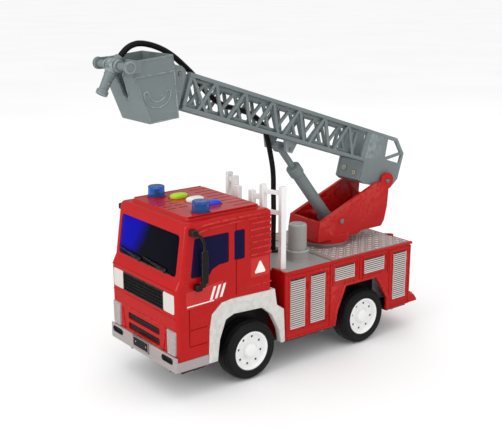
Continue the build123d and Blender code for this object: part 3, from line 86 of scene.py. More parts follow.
# ---- hose: the route's points, in metres, and the two bodies that each stretch joins ----
HOSE_DIAMETER = 0.0044
HOSES = (
    ("hose_riser_lower", "root", "turntable",
     [(-0.017, -0.007, 0.079), (-0.017, -0.007, 0.097), (-0.0172, -0.0068, 0.115),
      (-0.01705, -0.0069, 0.124)]),
    ("hose_riser_upper", "turntable", "ladder",
     [(-0.01705, -0.0069, 0.124), (-0.0169, -0.007, 0.133), (-0.0166, -0.0068, 0.151),
      (-0.0132, -0.007, 0.168), (-0.0093, -0.0069, 0.183), (-0.0032, -0.0066, 0.1948),
      (0.0075, -0.0065, 0.2026), (0.01475, -0.00645, 0.20525)]),
    ("hose_in_ladder", "ladder", "ladder_inner",
     [(0.01475, -0.00645, 0.20525), (0.022, -0.0064, 0.2079), (0.0365, -0.0062, 0.2116),
      (0.0521, -0.0058, 0.2231), (0.0573, -0.0055, 0.2297)]),
    ("hose_arch_rear", "ladder_inner", "basket",
     [(0.0573, -0.0055, 0.2297), (0.0625, -0.0052, 0.2363), (0.0725, -0.0046, 0.245),
      (0.0845, -0.0039, 0.2546), (0.091, -0.00355, 0.2578)]),
    ("hose_arch_front", "basket", "nozzle",
     [(0.091, -0.00355, 0.2578), (0.0975, -0.0032, 0.261), (0.1115, -0.0022, 0.2644),
      (0.1202, -0.0012, 0.2632), (0.1263, -0.0005, 0.2598), (0.13037, 0.0, 0.2557)]),
)


# ---- materials: noise scales are per metre, and bump depths in metres ----
class Surface:
    """A node-based material whose detail lies in the object's own space."""

    def __init__(self, name, **constants):
        self.material = bpy.data.materials.new(name)
        self.material.use_nodes = True
        self.tree = self.material.node_tree
        self.tree.nodes.clear()
        output = self.node("ShaderNodeOutputMaterial")
        self.shader = self.node("ShaderNodeBsdfPrincipled")
        self.tree.links.new(self.shader.outputs[0], output.inputs[0])
        self.place = self.node("ShaderNodeTexCoord").outputs["Object"]
        for socket, value in constants.items():
            self.shader.inputs[socket.replace("_", " ")].default_value = value

    def node(self, kind, **settings):
        made = self.tree.nodes.new(kind)
        for key, value in settings.items():
            setattr(made, key, value)
        return made

    def feed(self, socket, value):
        """Sets a socket, or links it when value is another node's output."""
        if isinstance(value, bpy.types.NodeSocket):
            self.tree.links.new(value, socket)
        else:
            socket.default_value = value

    def noise(self, scale, detail=3.0, stretch=None):
        made = self.node("ShaderNodeTexNoise")
        vector = self.place
        if stretch:
            mapping = self.node("ShaderNodeMapping")
            self.feed(mapping.inputs["Vector"], vector)
            mapping.inputs["Scale"].default_value = stretch
            vector = mapping.outputs[0]
        self.feed(made.inputs["Vector"], vector)
        made.inputs["Scale"].default_value = scale
        made.inputs["Detail"].default_value = detail
        return made.outputs["Fac"]

    def band(self, value, low, high, out_low=0.0, out_high=1.0):
        made = self.node("ShaderNodeMapRange")
        limits = {"From Min": low, "From Max": high, "To Min": out_low, "To Max": out_high}
        for key, number in limits.items():
            made.inputs[key].default_value = number
        self.feed(made.inputs["Value"], value)
        return made.outputs[0]

    def maths(self, operation, a, b):
        made = self.node("ShaderNodeMath", operation=operation)
        self.feed(made.inputs[0], a)
        self.feed(made.inputs[1], b)
        return made.outputs[0]

    def mix(self, factor, a, b):
        made = self.node("ShaderNodeMix", data_type="RGBA")
        self.feed(made.inputs[0], factor)
        self.feed(made.inputs[6], a)
        self.feed(made.inputs[7], b)
        return made.outputs[2]

    def bump(self, height, strength, distance, normal=None):
        made = self.node("ShaderNodeBump")
        made.inputs["Strength"].default_value = strength
        made.inputs["Distance"].default_value = distance
        self.feed(made.inputs["Height"], height)
        if normal:
            self.feed(made.inputs["Normal"], normal)
        return made.outputs[0]

    def finish(self, colour, roughness, normal=None):
        self.feed(self.shader.inputs["Base Color"], colour)
        self.feed(self.shader.inputs["Roughness"], roughness)
        if normal:
            self.feed(self.shader.inputs["Normal"], normal)
        return self.material


def tint(colour, factor):
    return tuple(min(1.0, c * factor) for c in colour) + (1.0,)


def plastic(name, colour, rough, worn, peel=0.12, grain=0.0, mottle=0.07, scratches=0.12, **constants):
    """Moulded plastic: mottled tone, flow streaks, hairline scratches, rubbed edges and orange peel."""
    look = Surface(name, **constants)
    patches = look.band(look.noise(24.0, 4.0), 0.3, 0.7)
    tone = look.mix(patches, tint(colour, 1.0 - mottle), tint(colour, 1.0 + mottle))
    streaks = look.band(look.noise(1.0, 3.0, (22.0, 22.0, 260.0)), 0.35, 0.75, 0.0, 0.5)
    tone = look.mix(streaks, tone, tint(colour, 1.0 - 1.4 * mottle))
    hair_a = look.band(look.noise(1.0, 2.0, (70.0, 900.0, 1700.0)), 0.66, 0.72)
    hair_b = look.band(look.noise(1.0, 2.0, (1500.0, 800.0, 60.0)), 0.67, 0.73)
    hair = look.maths("MAXIMUM", hair_a, hair_b)
    edge = look.node("ShaderNodeAttribute", attribute_name="wear").outputs["Fac"]
    rubbed = look.maths("MULTIPLY", edge, look.band(look.noise(260.0, 3.0), 0.35, 0.6))
    scratched = look.maths("MULTIPLY", hair, scratches)
    marks = look.maths("ADD", scratched, look.maths("MULTIPLY", rubbed, 0.55))
    tone = look.mix(marks, tone, worn + (1.0,))
    rough_map = look.band(look.noise(90.0, 4.0), 0.3, 0.7, rough - 0.03, rough + 0.05)
    rough_map = look.maths("ADD", rough_map, look.maths("MULTIPLY", marks, 0.35))
    normal = look.bump(look.noise(330.0, 2.0), peel, 0.0002)
    if grain:
        normal = look.bump(look.noise(2600.0, 2.0), grain, 0.0001, normal)
    normal = look.bump(hair, 0.1, 0.00005, normal)
    return look.finish(tone, rough_map, normal)


BRUSHED = (60.0, 1500.0, 1500.0)


def painted_metal(name, colour, rough, metallic, stain=0.12):
    """Silver paint or steel: fine flakes, brushed lines and a little tarnish."""
    look = Surface(name, Metallic=metallic)
    flakes = look.band(look.noise(2200.0, 1.0), 0.35, 0.65)
    cloud = look.band(look.noise(45.0, 5.0), 0.3, 0.7)
    lines = look.noise(1.0, 3.0, BRUSHED)
    tone = look.mix(flakes, tint(colour, 0.94), tint(colour, 1.05))
    tone = look.mix(look.maths("MULTIPLY", cloud, stain * 2.0), tone, tint(colour, 1.0 - 2.0 * stain))
    edge = look.node("ShaderNodeAttribute", attribute_name="wear").outputs["Fac"]
    tone = look.mix(look.maths("MULTIPLY", edge, 0.4), tone, tint(colour, 1.3))
    rough_map = look.band(lines, 0.3, 0.7, rough - 0.06, rough + 0.08)
    normal = look.bump(lines, 0.08, 0.00008)
    normal = look.bump(flakes, 0.05, 0.00004, normal)
    return look.finish(tone, rough_map, normal)


def rubber(name, colour, rough, dust):
    """Rubber: matt, with a dusty bloom and fine pores."""
    look = Surface(name, Specular_IOR_Level=0.3)
    bloom = look.band(look.noise(60.0, 5.0), 0.45, 0.75, 0.0, 0.6)
    pores = look.noise(1800.0, 2.0)
    tone = look.mix(bloom, colour + (1.0,), dust + (1.0,))
    edge = look.node("ShaderNodeAttribute", attribute_name="wear").outputs["Fac"]
    tone = look.mix(look.maths("MULTIPLY", edge, 0.5), tone, tint(dust, 1.4))
    rough_map = look.band(look.noise(140.0, 4.0), 0.3, 0.7, rough - 0.08, rough + 0.1)
    normal = look.bump(pores, 0.25, 0.00012)
    return look.finish(tone, rough_map, look.bump(look.noise(420.0, 3.0), 0.12, 0.0002, normal))


def tinted_pane(name, deep, painted_light_tone, boundary):
    """Dark tinted pane. The second colour is painted light: it is mixed into the pane's colour up high and
    towards one side, where daylight would come in through the far side of the cab.
    """
    look = Surface(name, Specular_IOR_Level=0.08)
    parts = look.node("ShaderNodeSeparateXYZ")
    look.feed(parts.inputs[0], look.place)
    warp = look.band(look.noise(28.0, 3.0), 0.3, 0.7, -0.004, 0.004)
    low, high = boundary
    slant = look.maths("ADD", parts.outputs["Y"], look.maths("MULTIPLY", parts.outputs["Z"], -0.55))
    # painted light: the mask lays the second colour on the pane where daylight from the far side would show,
    # instead of real light passing through
    painted_light_mask = look.band(look.maths("ADD", slant, warp), low, high, 1.0, 0.0)
    height = look.band(parts.outputs["Z"], 0.098, 0.107)
    tone = look.mix(look.maths("MULTIPLY", painted_light_mask, height), deep + (1.0,), painted_light_tone + (1.0,))
    smears = look.band(look.noise(1.0, 4.0, (60.0, 60.0, 18.0)), 0.4, 0.8, 0.05, 0.13)
    dust = look.band(look.noise(900.0, 2.0), 0.62, 0.8, 0.0, 0.25)
    tone = look.mix(look.maths("MULTIPLY", dust, 0.3), tone, (0.05, 0.05, 0.07, 1.0))
    rough_map = look.maths("ADD", smears, look.maths("MULTIPLY", dust, 0.5))
    return look.finish(tone, rough_map, look.bump(look.noise(14.0, 1.0), 0.1, 0.0008))


def beacon_plastic(name, colour):
    """Clear blue plastic with flow lines and small bubbles."""
    look = Surface(name, Transmission_Weight=0.85, IOR=1.49)
    flow = look.band(look.noise(1.0, 3.0, (90.0, 90.0, 700.0)), 0.3, 0.7)
    tone = look.mix(flow, tint(colour, 0.8), tint(colour, 1.15))
    specks = look.band(look.noise(1500.0, 1.0), 0.66, 0.72)
    tone = look.mix(look.maths("MULTIPLY", specks, 0.3), tone, (0.6, 0.75, 1.0, 1.0))
    rough_map = look.band(look.noise(120.0, 3.0), 0.3, 0.7, 0.06, 0.16)
    return look.finish(tone, rough_map, look.bump(flow, 0.12, 0.0002))


def board_laminate(name):
    """Green circuit board with copper tracks under the lacquer."""
    look = Surface(name)
    tracks = look.node("ShaderNodeTexVoronoi", feature="DISTANCE_TO_EDGE")
    look.feed(tracks.inputs["Vector"], look.place)
    tracks.inputs["Scale"].default_value = 260.0
    line = look.band(tracks.outputs["Distance"], 0.05, 0.09, 1.0, 0.0)
    weave = look.noise(1400.0, 2.0)
    tone = look.mix(look.band(weave, 0.3, 0.7), (0.012, 0.13, 0.045, 1.0), (0.02, 0.2, 0.07, 1.0))
    tone = look.mix(line, tone, (0.1, 0.42, 0.16, 1.0))
    return look.finish(tone, look.band(weave, 0.3, 0.7, 0.3, 0.45), look.bump(line, 0.3, 0.0001))


RED = (0.45, 0.0045, 0.0045)
MATERIALS = {
    "red_shell": plastic("red_shell_gloss", RED, 0.22, (0.6, 0.05, 0.04), peel=0.05, mottle=0.025,
                         Coat_Weight=0.12, Coat_Roughness=0.08, Specular_IOR_Level=0.35),
    "white_shell": plastic("white_shell_gloss", (0.82, 0.825, 0.82), 0.3, (0.92, 0.92, 0.92), mottle=0.025,
                           scratches=0.08),
    "chassis": plastic("chassis_black", (0.018, 0.018, 0.019), 0.48, (0.12, 0.12, 0.12), grain=0.25,
                       mottle=0.2),
    "battery_cell": painted_metal("battery_cell_wrap", (0.06, 0.16, 0.38), 0.32, 0.55),
    "screw_steel": painted_metal("screw_steel_zinc", (0.85, 0.75, 0.6), 0.3, 0.9),
    "axle_steel": painted_metal("axle_steel_ground", (0.56, 0.57, 0.58), 0.25, 1.0),
    "tyre": rubber("tyre_rubber", (0.006, 0.006, 0.0065), 0.52, (0.015, 0.015, 0.0155)),
    "gear": plastic("gear_acetal", (0.83, 0.8, 0.7), 0.36, (0.95, 0.93, 0.86), grain=0.1),
    "flywheel": painted_metal("flywheel_zinc", (0.42, 0.42, 0.43), 0.38, 0.95),
    "window": tinted_pane("window_tint", (0.009, 0.008, 0.038), (0.009, 0.008, 0.038), (-0.01, 0.0)),
    "grille": plastic("grille_black", (0.008, 0.0085, 0.0085), 0.26, (0.07, 0.07, 0.07), mottle=0.15),
    "silver": painted_metal("silver_paint", (0.74, 0.69, 0.65), 0.4, 0.2, stain=0.06),
    "lamp": painted_metal("lamp_lens", (0.52, 0.46, 0.45), 0.24, 0.3, stain=0.14),
    "bumper": painted_metal("bumper_silver", (0.5, 0.445, 0.435), 0.34, 0.35, stain=0.08),
    "arch": plastic("arch_pearl", (0.6, 0.585, 0.55), 0.34, (0.75, 0.74, 0.71), mottle=0.03, Metallic=0.1),
    "black_trim": plastic("black_trim_gloss", (0.006, 0.006, 0.0065), 0.17, (0.06, 0.06, 0.06), mottle=0.2),
    "beacon": beacon_plastic("beacon_blue", (0.07, 0.3, 0.95)),
    "green": plastic("button_lime", (0.42, 0.72, 0.012), 0.36, (0.6, 0.85, 0.2), mottle=0.05),
    "blue": plastic("button_blue_soft", (0.012, 0.06, 0.72), 0.34, (0.1, 0.2, 0.85), mottle=0.06),
    "board": board_laminate("board_green"),
    "speaker": plastic("speaker_cone", (0.02, 0.02, 0.022), 0.6, (0.1, 0.1, 0.1), grain=0.4),
    "deck": plastic("deck_grey", (0.33, 0.33, 0.315), 0.3, (0.4, 0.4, 0.38), mottle=0.05, scratches=0.2),
    "tread": painted_metal("tread_grey", (0.36, 0.31, 0.295), 0.36, 0.2, stain=0.09),
    "grey_plastic": plastic("ladder_grey", (0.168, 0.2, 0.205), 0.33, (0.36, 0.41, 0.42), peel=0.14,
                            grain=0.08, mottle=0.06, scratches=0.2),
    "spring": painted_metal("spring_wire", (0.5, 0.5, 0.5), 0.26, 1.0),
    "tank": plastic("tank_milky", (0.7, 0.74, 0.76), 0.42, (0.9, 0.9, 0.9), mottle=0.04),
    "hose": rubber("hose_black", (0.003, 0.003, 0.0035), 0.3, (0.009, 0.009, 0.0095)),
}
# the windscreen's blue is its tint, but the patch where the blue shows is painted light
SCREEN_GLASS = tinted_pane("windscreen_tint_painted_light", (0.002, 0.002, 0.006), (0.003, 0.002, 0.32), (-0.084, -0.068))
LABEL_RED = plastic("label_vinyl_red", (0.55, 0.02, 0.018), 0.24, (0.7, 0.15, 0.13), mottle=0.03)
LABEL_WHITE = plastic("label_vinyl_white", (0.86, 0.84, 0.82), 0.28, (0.7, 0.6, 0.58), mottle=0.03)
# a lighter copy of the tread grey for the deck lozenges: painted highlight where their raised tops catch the
# light
TREAD_TOP_HIGHLIGHT = painted_metal("tread_tops_painted_highlight", (0.62, 0.55, 0.52), 0.3, 0.2, stain=0.06)
PUMP_GREY = plastic("pump_warm_grey", (0.3, 0.297, 0.28), 0.34, (0.55, 0.54, 0.5), mottle=0.06, grain=0.05)

for node_object in NODES.values():
    for material_slot in node_object.material_slots:
        material_slot.material = MATERIALS[material_slot.material.name]


# ---- local frames: columns u, v, w ----
def local_frame(origin, u, v, w):
    made = Matrix((u, v, w)).transposed().to_4x4()
    made.translation = Vector(origin)
    return made


def tilted_frame(x, z, degrees, y=0.0, side=1):
    """u and v in the XZ plane, turned nose-up by an angle; w points to the given side."""
    c, s = math.cos(math.radians(degrees)), math.sin(math.radians(degrees))
    return local_frame((x, y, z), (c, 0, s), (-s, 0, c), (0, side, 0))


def side_frame(side, y=HALF_W):
    return tilted_frame(0.0, 0.0, 0.0, side * y, side)


def wheel_frame(axle, side):
    return local_frame((AXLES[axle], side * HALF_W, TYRE_R), (1, 0, 0), (0, 0, 1), (0, side, 0))


def up_frame(x, y, z):
    return local_frame((x, y, z), (1, 0, 0), (0, 1, 0), (0, 0, 1))


FRONT = local_frame((CAB_FRONT_X, 0, 0), (0, 1, 0), (0, 0, 1), (1, 0, 0))
TILT_C, TILT_S = math.cos(math.radians(SCREEN_TILT)), math.sin(math.radians(SCREEN_TILT))
SCREEN = local_frame((112.0, 0, 113.1), (0, 1, 0), (-TILT_S, 0, TILT_C), (TILT_C, 0, TILT_S))
REAR = local_frame((BODY_REAR_X, 0, 0), (0, 1, 0), (0, 0, 1), (-1, 0, 0))


# ---- mesh building ----
def circle_points(radius, count, centre=(0.0, 0.0), start=0.0, end=360.0):
    """Points on an arc in degrees; a full turn doesn't repeat its first point."""
    full = abs(end - start - 360.0) < 1e-6
    steps = count if full else count - 1
    angles = [math.radians(start + (end - start) * k / steps) for k in range(count)]
    return [(centre[0] + radius * math.cos(a), centre[1] + radius * math.sin(a)) for a in angles]


def rounded_outline(width, height, radius, steps=5, centre=(0.0, 0.0)):
    points = []
    for sx, sy, start in ((1, 1, 0), (-1, 1, 90), (-1, -1, 180), (1, -1, 270)):
        corner = (centre[0] + sx * (0.5 * width - radius), centre[1] + sy * (0.5 * height - radius))
        points += circle_points(radius, steps, corner, start, start + 90)
    return points


# angles between two faces, in degrees
SMOOTH_BELOW = 38.0
BEVEL_ABOVE = 30.0
CAD_BEVEL_ABOVE = 32.0
WORN_BETWEEN = (34.0, 60.0)
FLAT_BELOW = 0.7
# a seam's vertices lie this close, in metres
SEAM = 3e-6


class Shape:
    """Vertices and faces gathered in millimetres, and made into one mesh at the end."""

    def __init__(self):
        self.verts = []
        self.faces = []

    def add(self, verts, faces, place):
        base = len(self.verts)
        self.verts += [place @ Vector(v) for v in verts]
        self.faces += [[base + i for i in face] for face in faces]

    def stack(self, rings, place, closed=False):
        """Joins rings of the same number of points; the two ends are capped unless it closes on itself."""
        n = len(rings[0])
        verts = [p for ring in rings for p in ring]
        faces = []
        for k in range(len(rings) if closed else len(rings) - 1):
            a, b = k * n, (k + 1) % len(rings) * n
            faces += [[a + i, a + (i + 1) % n, b + (i + 1) % n, b + i] for i in range(n)]
        if not closed:
            faces += [list(range(n)), list(range((len(rings) - 1) * n, len(rings) * n))]
        self.add(verts, faces, place)

    def prism(self, outline, low, high, place):
        self.stack([[(u, v, w) for u, v in outline] for w in (low, high)], place)

    def lathe(self, profile, place, segments=64, closed=False, wave=None):
        """Profile of (radius, height) about w. wave(k, angle) adds to the radius of ring k."""
        rings = []
        for k, (radius, height) in enumerate(profile):
            ring = []
            for i in range(segments):
                a = 2 * math.pi * i / segments
                r = max(radius, 0.001) + (wave(k, a) if wave else 0.0)
                ring.append((r * math.cos(a), r * math.sin(a), height))
            rings.append(ring)
        self.stack(rings, place, closed)

    def dome(self, outline, base, height, depth, place, steps=6, edge=1.0):
        """A crowned lid over an outline about its own middle, with its underside depth below base."""
        cu = sum(p[0] for p in outline) / len(outline)
        cv = sum(p[1] for p in outline) / len(outline)
        levels = [(1.0, base - depth)]
        for k in range(steps + 1):
            turn = 0.5 * math.pi * k / steps
            levels.append((max(0.02, math.cos(turn) ** edge), base + height * math.sin(turn)))
        rings = [[(cu + part * (u - cu), cv + part * (v - cv), w) for u, v in outline] for part, w in levels]
        self.stack(rings, place)

    def tube(self, points, radius, place, sides=8, closed=False, flatten=1.0):
        """A round bead along points in u, v, w. flatten squeezes it across w."""
        count = len(points)
        rings = []
        for k, point in enumerate(points):
            here = Vector(point)
            ahead = Vector(points[(k + 1) % count] if closed or k + 1 < count else points[k])
            behind = Vector(points[k - 1] if closed or k else points[k])
            along = (ahead - behind).normalized()
            across = along.cross(Vector((0, 0, 1)))
            across = across.normalized() if across.length > 1e-4 else Vector((1, 0, 0))
            up = across.cross(along).normalized()
            ring = []
            for i in range(sides):
                a = 2 * math.pi * i / sides
                ring.append(here + across * (radius * math.cos(a)) + up * (radius * flatten * math.sin(a)))
            rings.append(ring)
        self.stack(rings, place, closed)

    def relief(self, corner, nu, nv, height, back, place):
        """A closed plate whose face is a height field; corner(a, b) gives its u, v for a, b from 0 to 1."""
        verts = []
        for level in (0, 1):
            for j in range(nv + 1):
                for i in range(nu + 1):
                    a, b = i / nu, j / nv
                    u, v = corner(a, b)
                    verts.append((u, v, height(a, b) if level else back))
        row, sheet = nu + 1, (nu + 1) * (nv + 1)
        faces = []
        for j in range(nv):
            for i in range(nu):
                quad = [j * row + i, j * row + i + 1, (j + 1) * row + i + 1, (j + 1) * row + i]
                faces += [quad, [sheet + q for q in quad]]
        rim = [(i, i + 1) for i in range(nu)] + [(nv * row + i, nv * row + i + 1) for i in range(nu)]
        rim += [(j * row, (j + 1) * row) for j in range(nv)]
        rim += [(j * row + nu, (j + 1) * row + nu) for j in range(nv)]
        faces += [[a, b, sheet + b, sheet + a] for a, b in rim]
        self.add(verts, faces, place)

    def piece(self, name, body, slot, material=None, bevel=0.0, replaces=(), angle=SMOOTH_BELOW):
        mesh = bpy.data.meshes.new(name)
        mesh.from_pydata([v * MM for v in self.verts], [], self.faces)
        graph = bmesh.new()
        graph.from_mesh(mesh)
        bmesh.ops.recalc_face_normals(graph, faces=graph.faces)
        if bevel:
            round_edges(graph, bevel, BEVEL_ABOVE)
        return settle(graph, mesh, name, body, material or MATERIALS[slot], replaces, angle)


def round_edges(graph, width, angle):
    """Bevels the convex sharp edges whose two faces are wide enough for it."""
    size = width * MM
    chosen = []
    for edge in graph.edges:
        if len(edge.link_faces) != 2 or edge.calc_face_angle_signed(0.0) < math.radians(angle):
            continue
        along = (edge.verts[1].co - edge.verts[0].co).normalized()
        room = []
        for face in edge.link_faces:
            across = face.normal.cross(along)
            room.append(max(abs((v.co - edge.verts[0].co).dot(across)) for v in face.verts))
        if min(room) > 2.1 * size:
            chosen.append(edge)
    bmesh.ops.bevel(graph, geom=chosen, offset=size, offset_type="OFFSET", segments=2, profile=0.5,
                    affect="EDGES", clamp_overlap=False, loop_slide=True)


def settle(graph, mesh, name, body, material, replaces, angle):
    """Writes the mesh back with smooth shading and its edge-wear attribute, and puts it on its body."""
    graph.normal_update()
    wear = [0.0] * len(graph.verts)
    for vertex in graph.verts:
        turns = [e.calc_face_angle_signed(0.0) for e in vertex.link_edges if len(e.link_faces) == 2]
        sharpest = max(turns, default=0.0)
        wear[vertex.index] = float(WORN_BETWEEN[0] < math.degrees(sharpest) < WORN_BETWEEN[1])
    graph.to_mesh(mesh)
    graph.free()
    mesh.attributes.new("wear", "FLOAT", "POINT").data.foreach_set("value", wear)
    mesh.materials.clear()
    mesh.materials.append(material)
    mesh.shade_smooth()
    mesh.set_sharp_from_angle(angle=math.radians(angle))
    made = bpy.data.objects.new(name, mesh)
    SCENE.collection.objects.link(made)
    weighted = made.modifiers.new("weighted", "WEIGHTED_NORMAL")
    weighted.keep_sharp = True
    weighted.weight = 80
    bpy.context.view_layer.update()
    shown = made.evaluated_get(bpy.context.evaluated_depsgraph_get())
    made.data = bpy.data.meshes.new_from_object(shown)
    made.modifiers.clear()
    made.data.name = name
    if replaces:
        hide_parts(*replaces)
    if body:
        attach(made, body)
    return made


def merged_mesh(source, join_flats):
    """The node's mesh with its seams merged, and its flat faces joined where that is asked for."""
    graph = bmesh.new()
    graph.from_mesh(source.data)
    for layer in list(graph.loops.layers.uv):
        graph.loops.layers.uv.remove(layer)
    bmesh.ops.remove_doubles(graph, verts=graph.verts, dist=SEAM)
    if join_flats:
        limit = math.radians(FLAT_BELOW)
        bmesh.ops.dissolve_limit(graph, angle_limit=limit, verts=graph.verts, edges=graph.edges)
    bmesh.ops.recalc_face_normals(graph, faces=graph.faces)
    return graph


def rounded_copy(node, width):
    """A copy of a CAD node with its moulded edges rounded, shown in the node's place."""
    source = NODES[node]
    slot = next(key for key, look in MATERIALS.items() if look == source.material_slots[0].material)
    plain_area = sum(polygon.area for polygon in source.data.polygons)
    for join_flats in (True, False):
        graph = merged_mesh(source, join_flats)
        round_edges(graph, width, CAD_BEVEL_ABOVE)
        bmesh.ops.triangulate(graph, faces=graph.faces, quad_method="BEAUTY", ngon_method="BEAUTY")
        # a sound bevel only takes area away
        if 0.9 < sum(face.calc_area() for face in graph.faces) / plain_area < 1.0:
            break
        graph.free()
    else:
        return
    name = node + "_rounded"
    mesh = bpy.data.meshes.new(name)
    settle(graph, mesh, name, NODE_BODY[node], MATERIALS[slot], (node,), SMOOTH_BELOW)


# ---- camera, light and floor, all in metres ----
CAMERA_LENS = 65.91
CAMERA_SENSOR = 36.0
CAMERA_PLACE = (0.4614, 0.5789, 0.3154)
CAMERA_AIM = (-0.592, -0.7635, -0.258)
FLOOR_SIZE = 14.0
FLOOR_DROP = 0.0001
SKY_SEEN = 1.03
SKY_REFLECTED = 0.3

camera_data = bpy.data.cameras.new("camera")
camera_data.lens = CAMERA_LENS
camera_data.sensor_width = CAMERA_SENSOR
camera = bpy.data.objects.new("camera", camera_data)
camera.location = CAMERA_PLACE
camera.rotation_euler = Vector(CAMERA_AIM).to_track_quat("-Z", "Y").to_euler()
SCENE.collection.objects.link(camera)
SCENE.camera = camera
SCENE.view_settings.view_transform = "Standard"


def soft_box(name, place, target, size, power):
    data = bpy.data.lights.new(name, "AREA")
    data.shape = "RECTANGLE"
    data.size, data.size_y = size
    data.energy = power
    lamp = bpy.data.objects.new(name, data)
    lamp.location = place
    lamp.rotation_euler = (Vector(target) - Vector(place)).to_track_quat("-Z", "Y").to_euler()
    SCENE.collection.objects.link(lamp)


soft_box("key_top", (0.25, 0.35, 1.25), (0.0, 0.0, 0.08), (1.3, 1.3), 2.6)
soft_box("front_left", (1.15, 0.15, 0.5), (0.05, 0.0, 0.1), (0.5, 0.9), 3.6)
soft_box("side_fill", (-0.15, 1.2, 0.55), (-0.02, 0.0, 0.1), (0.9, 0.6), 0.6)
soft_box("back_fill", (-0.9, -0.8, 0.8), (0.0, 0.0, 0.1), (0.9, 0.9), 0.6)

world = bpy.data.worlds.new("studio")
world.use_nodes = True
SCENE.world = world
backdrop = world.node_tree.nodes["Background"]
backdrop.inputs["Color"].default_value = (1.0, 1.0, 1.0, 1.0)
path_info = world.node_tree.nodes.new("ShaderNodeLightPath")
strength = world.node_tree.nodes.new("ShaderNodeMapRange")
strength.inputs["To Min"].default_value = SKY_SEEN
strength.inputs["To Max"].default_value = SKY_REFLECTED
world.node_tree.links.new(path_info.outputs["Is Glossy Ray"], strength.inputs["Value"])
world.node_tree.links.new(strength.outputs[0], backdrop.inputs["Strength"])

floor_mesh = bpy.data.meshes.new("floor")
FLOOR_CORNERS = ((-1, -1), (1, -1), (1, 1), (-1, 1))
floor_points = [(x * FLOOR_SIZE, y * FLOOR_SIZE, -FLOOR_DROP) for x, y in FLOOR_CORNERS]
floor_mesh.from_pydata(floor_points, [], [(0, 1, 2, 3)])
floor_look = Surface("floor_paper", Specular_IOR_Level=0.0)
floor_tone = floor_look.mix(floor_look.band(floor_look.noise(3.0, 4.0), 0.3, 0.7), (0.9, 0.9, 0.9, 1.0),
                            (0.93, 0.93, 0.93, 1.0))
floor_rough = floor_look.band(floor_look.noise(40.0), 0.3, 0.7, 0.5, 0.6)
floor_mesh.materials.append(floor_look.finish(floor_tone, floor_rough))
floor = bpy.data.objects.new("floor", floor_mesh)
SCENE.collection.objects.link(floor)
floor.visible_glossy = False

# ---- hose ----
HOSE_SIDES = 18
HOSE_TURNS = [2 * math.pi * k / HOSE_SIDES for k in range(HOSE_SIDES)]


def spline_points(name, route):
    """Points read from the route's own NURBS line."""
    curve = bpy.data.curves.new(name + "_line", "CURVE")
    curve.dimensions = "3D"
    curve.resolution_u = 10
    spline = curve.splines.new("NURBS")
    spline.points.add(len(route) - 1)
    for control, place in zip(spline.points, route):
        control.co = (*place, 1.0)
    spline.order_u = 3
    spline.use_endpoint_u = True
    line = bpy.data.objects.new(name + "_line", curve)
    SCENE.collection.objects.link(line)
    bpy.context.view_layer.update()
    read = bpy.data.meshes.new_from_object(line)
    points = [v.co.copy() for v in read.vertices]
    bpy.data.objects.remove(line)
    bpy.data.meshes.remove(read)
    return points


for hose_name, body_a, body_b, route in HOSES:
    path = spline_points(hose_name, route)
    rings = []
    across = Vector((0.0, 1.0, 0.0))
    for k, point in enumerate(path):
        along = (path[min(k + 1, len(path) - 1)] - path[max(k - 1, 0)]).normalized()
        across = (across - along * across.dot(along)).normalized()
        up = along.cross(across)
        spokes = [(across * math.cos(a) + up * math.sin(a)) * (0.5 * HOSE_DIAMETER) for a in HOSE_TURNS]
        rings.append([(point + spoke) / MM for spoke in spokes])
    tube = Shape()
    tube.stack(rings, Matrix.Identity(4))
    hose = tube.piece(hose_name + "_tube", None, "hose", replaces=(hose_name,))
    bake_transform(hose)

# ---- CAD nodes shown with rounded edges ----
# the width of each node's rounded edges
EDGE_WIDTHS = {
    "side_windows": 0.3, "grille_trims": 0.5, "front_bumper": 0.5, "wheel_arch_trims": 0.35,
    "door_mirrors": 0.7, "rear_body_shell": 0.4, "rear_step": 0.8, "deck_plate": 0.4, "tread_plate": 0.4,
    "ladder_racks": 0.5, "turntable": 0.5, "ladder_outer": 0.35, "ladder_inner": 0.35, "ladder_mount": 0.4,
    "basket_bracket": 0.4, "hose_outlet": 0.4, "chassis_base": 0.3, "battery_door": 0.3,
    "turntable_pins": 0.2, "mount_screws": 0.2,
}
for node, width in EDGE_WIDTHS.items():
    rounded_copy(node, width)

# ---- windscreen with its wipers ----
pane = Shape()
pane.dome(rounded_outline(81.6, 31.2, 2.8), -0.5, 0.9, 1.6, SCREEN, steps=8, edge=0.55)
pane.piece("screen_pane", "root", "window", SCREEN_GLASS, replaces=("windscreen",))
wipers = Shape()
for pivot_u in (-9.0, 27.0):
    blade = [(pivot_u - 30.0, -10.6, 1.0), (pivot_u - 15.0, -11.8, 1.3), (pivot_u + 1.0, -12.6, 1.1)]
    wipers.tube(blade, 0.55, SCREEN, sides=8)
    arm = [(pivot_u, -14.0, 1.2), (pivot_u - 8.0, -12.9, 2.0), (pivot_u - 17.0, -11.6, 2.0)]
    wipers.tube(arm, 0.7, SCREEN)
    wipers.lathe([(2.1, -0.4), (2.1, 0.9), (1.8, 1.5), (1.1, 2.0), (0.0, 2.2)],
                 SCREEN @ Matrix.Translation((pivot_u, -14.0, 0.0)), segments=24)
wipers.tube([(-36.0, -15.0, 0.3), (0.0, -15.1, 0.9), (36.0, -15.0, 0.3)], 0.5, SCREEN)
wipers.piece("wiper_arms", "root", "black_trim")

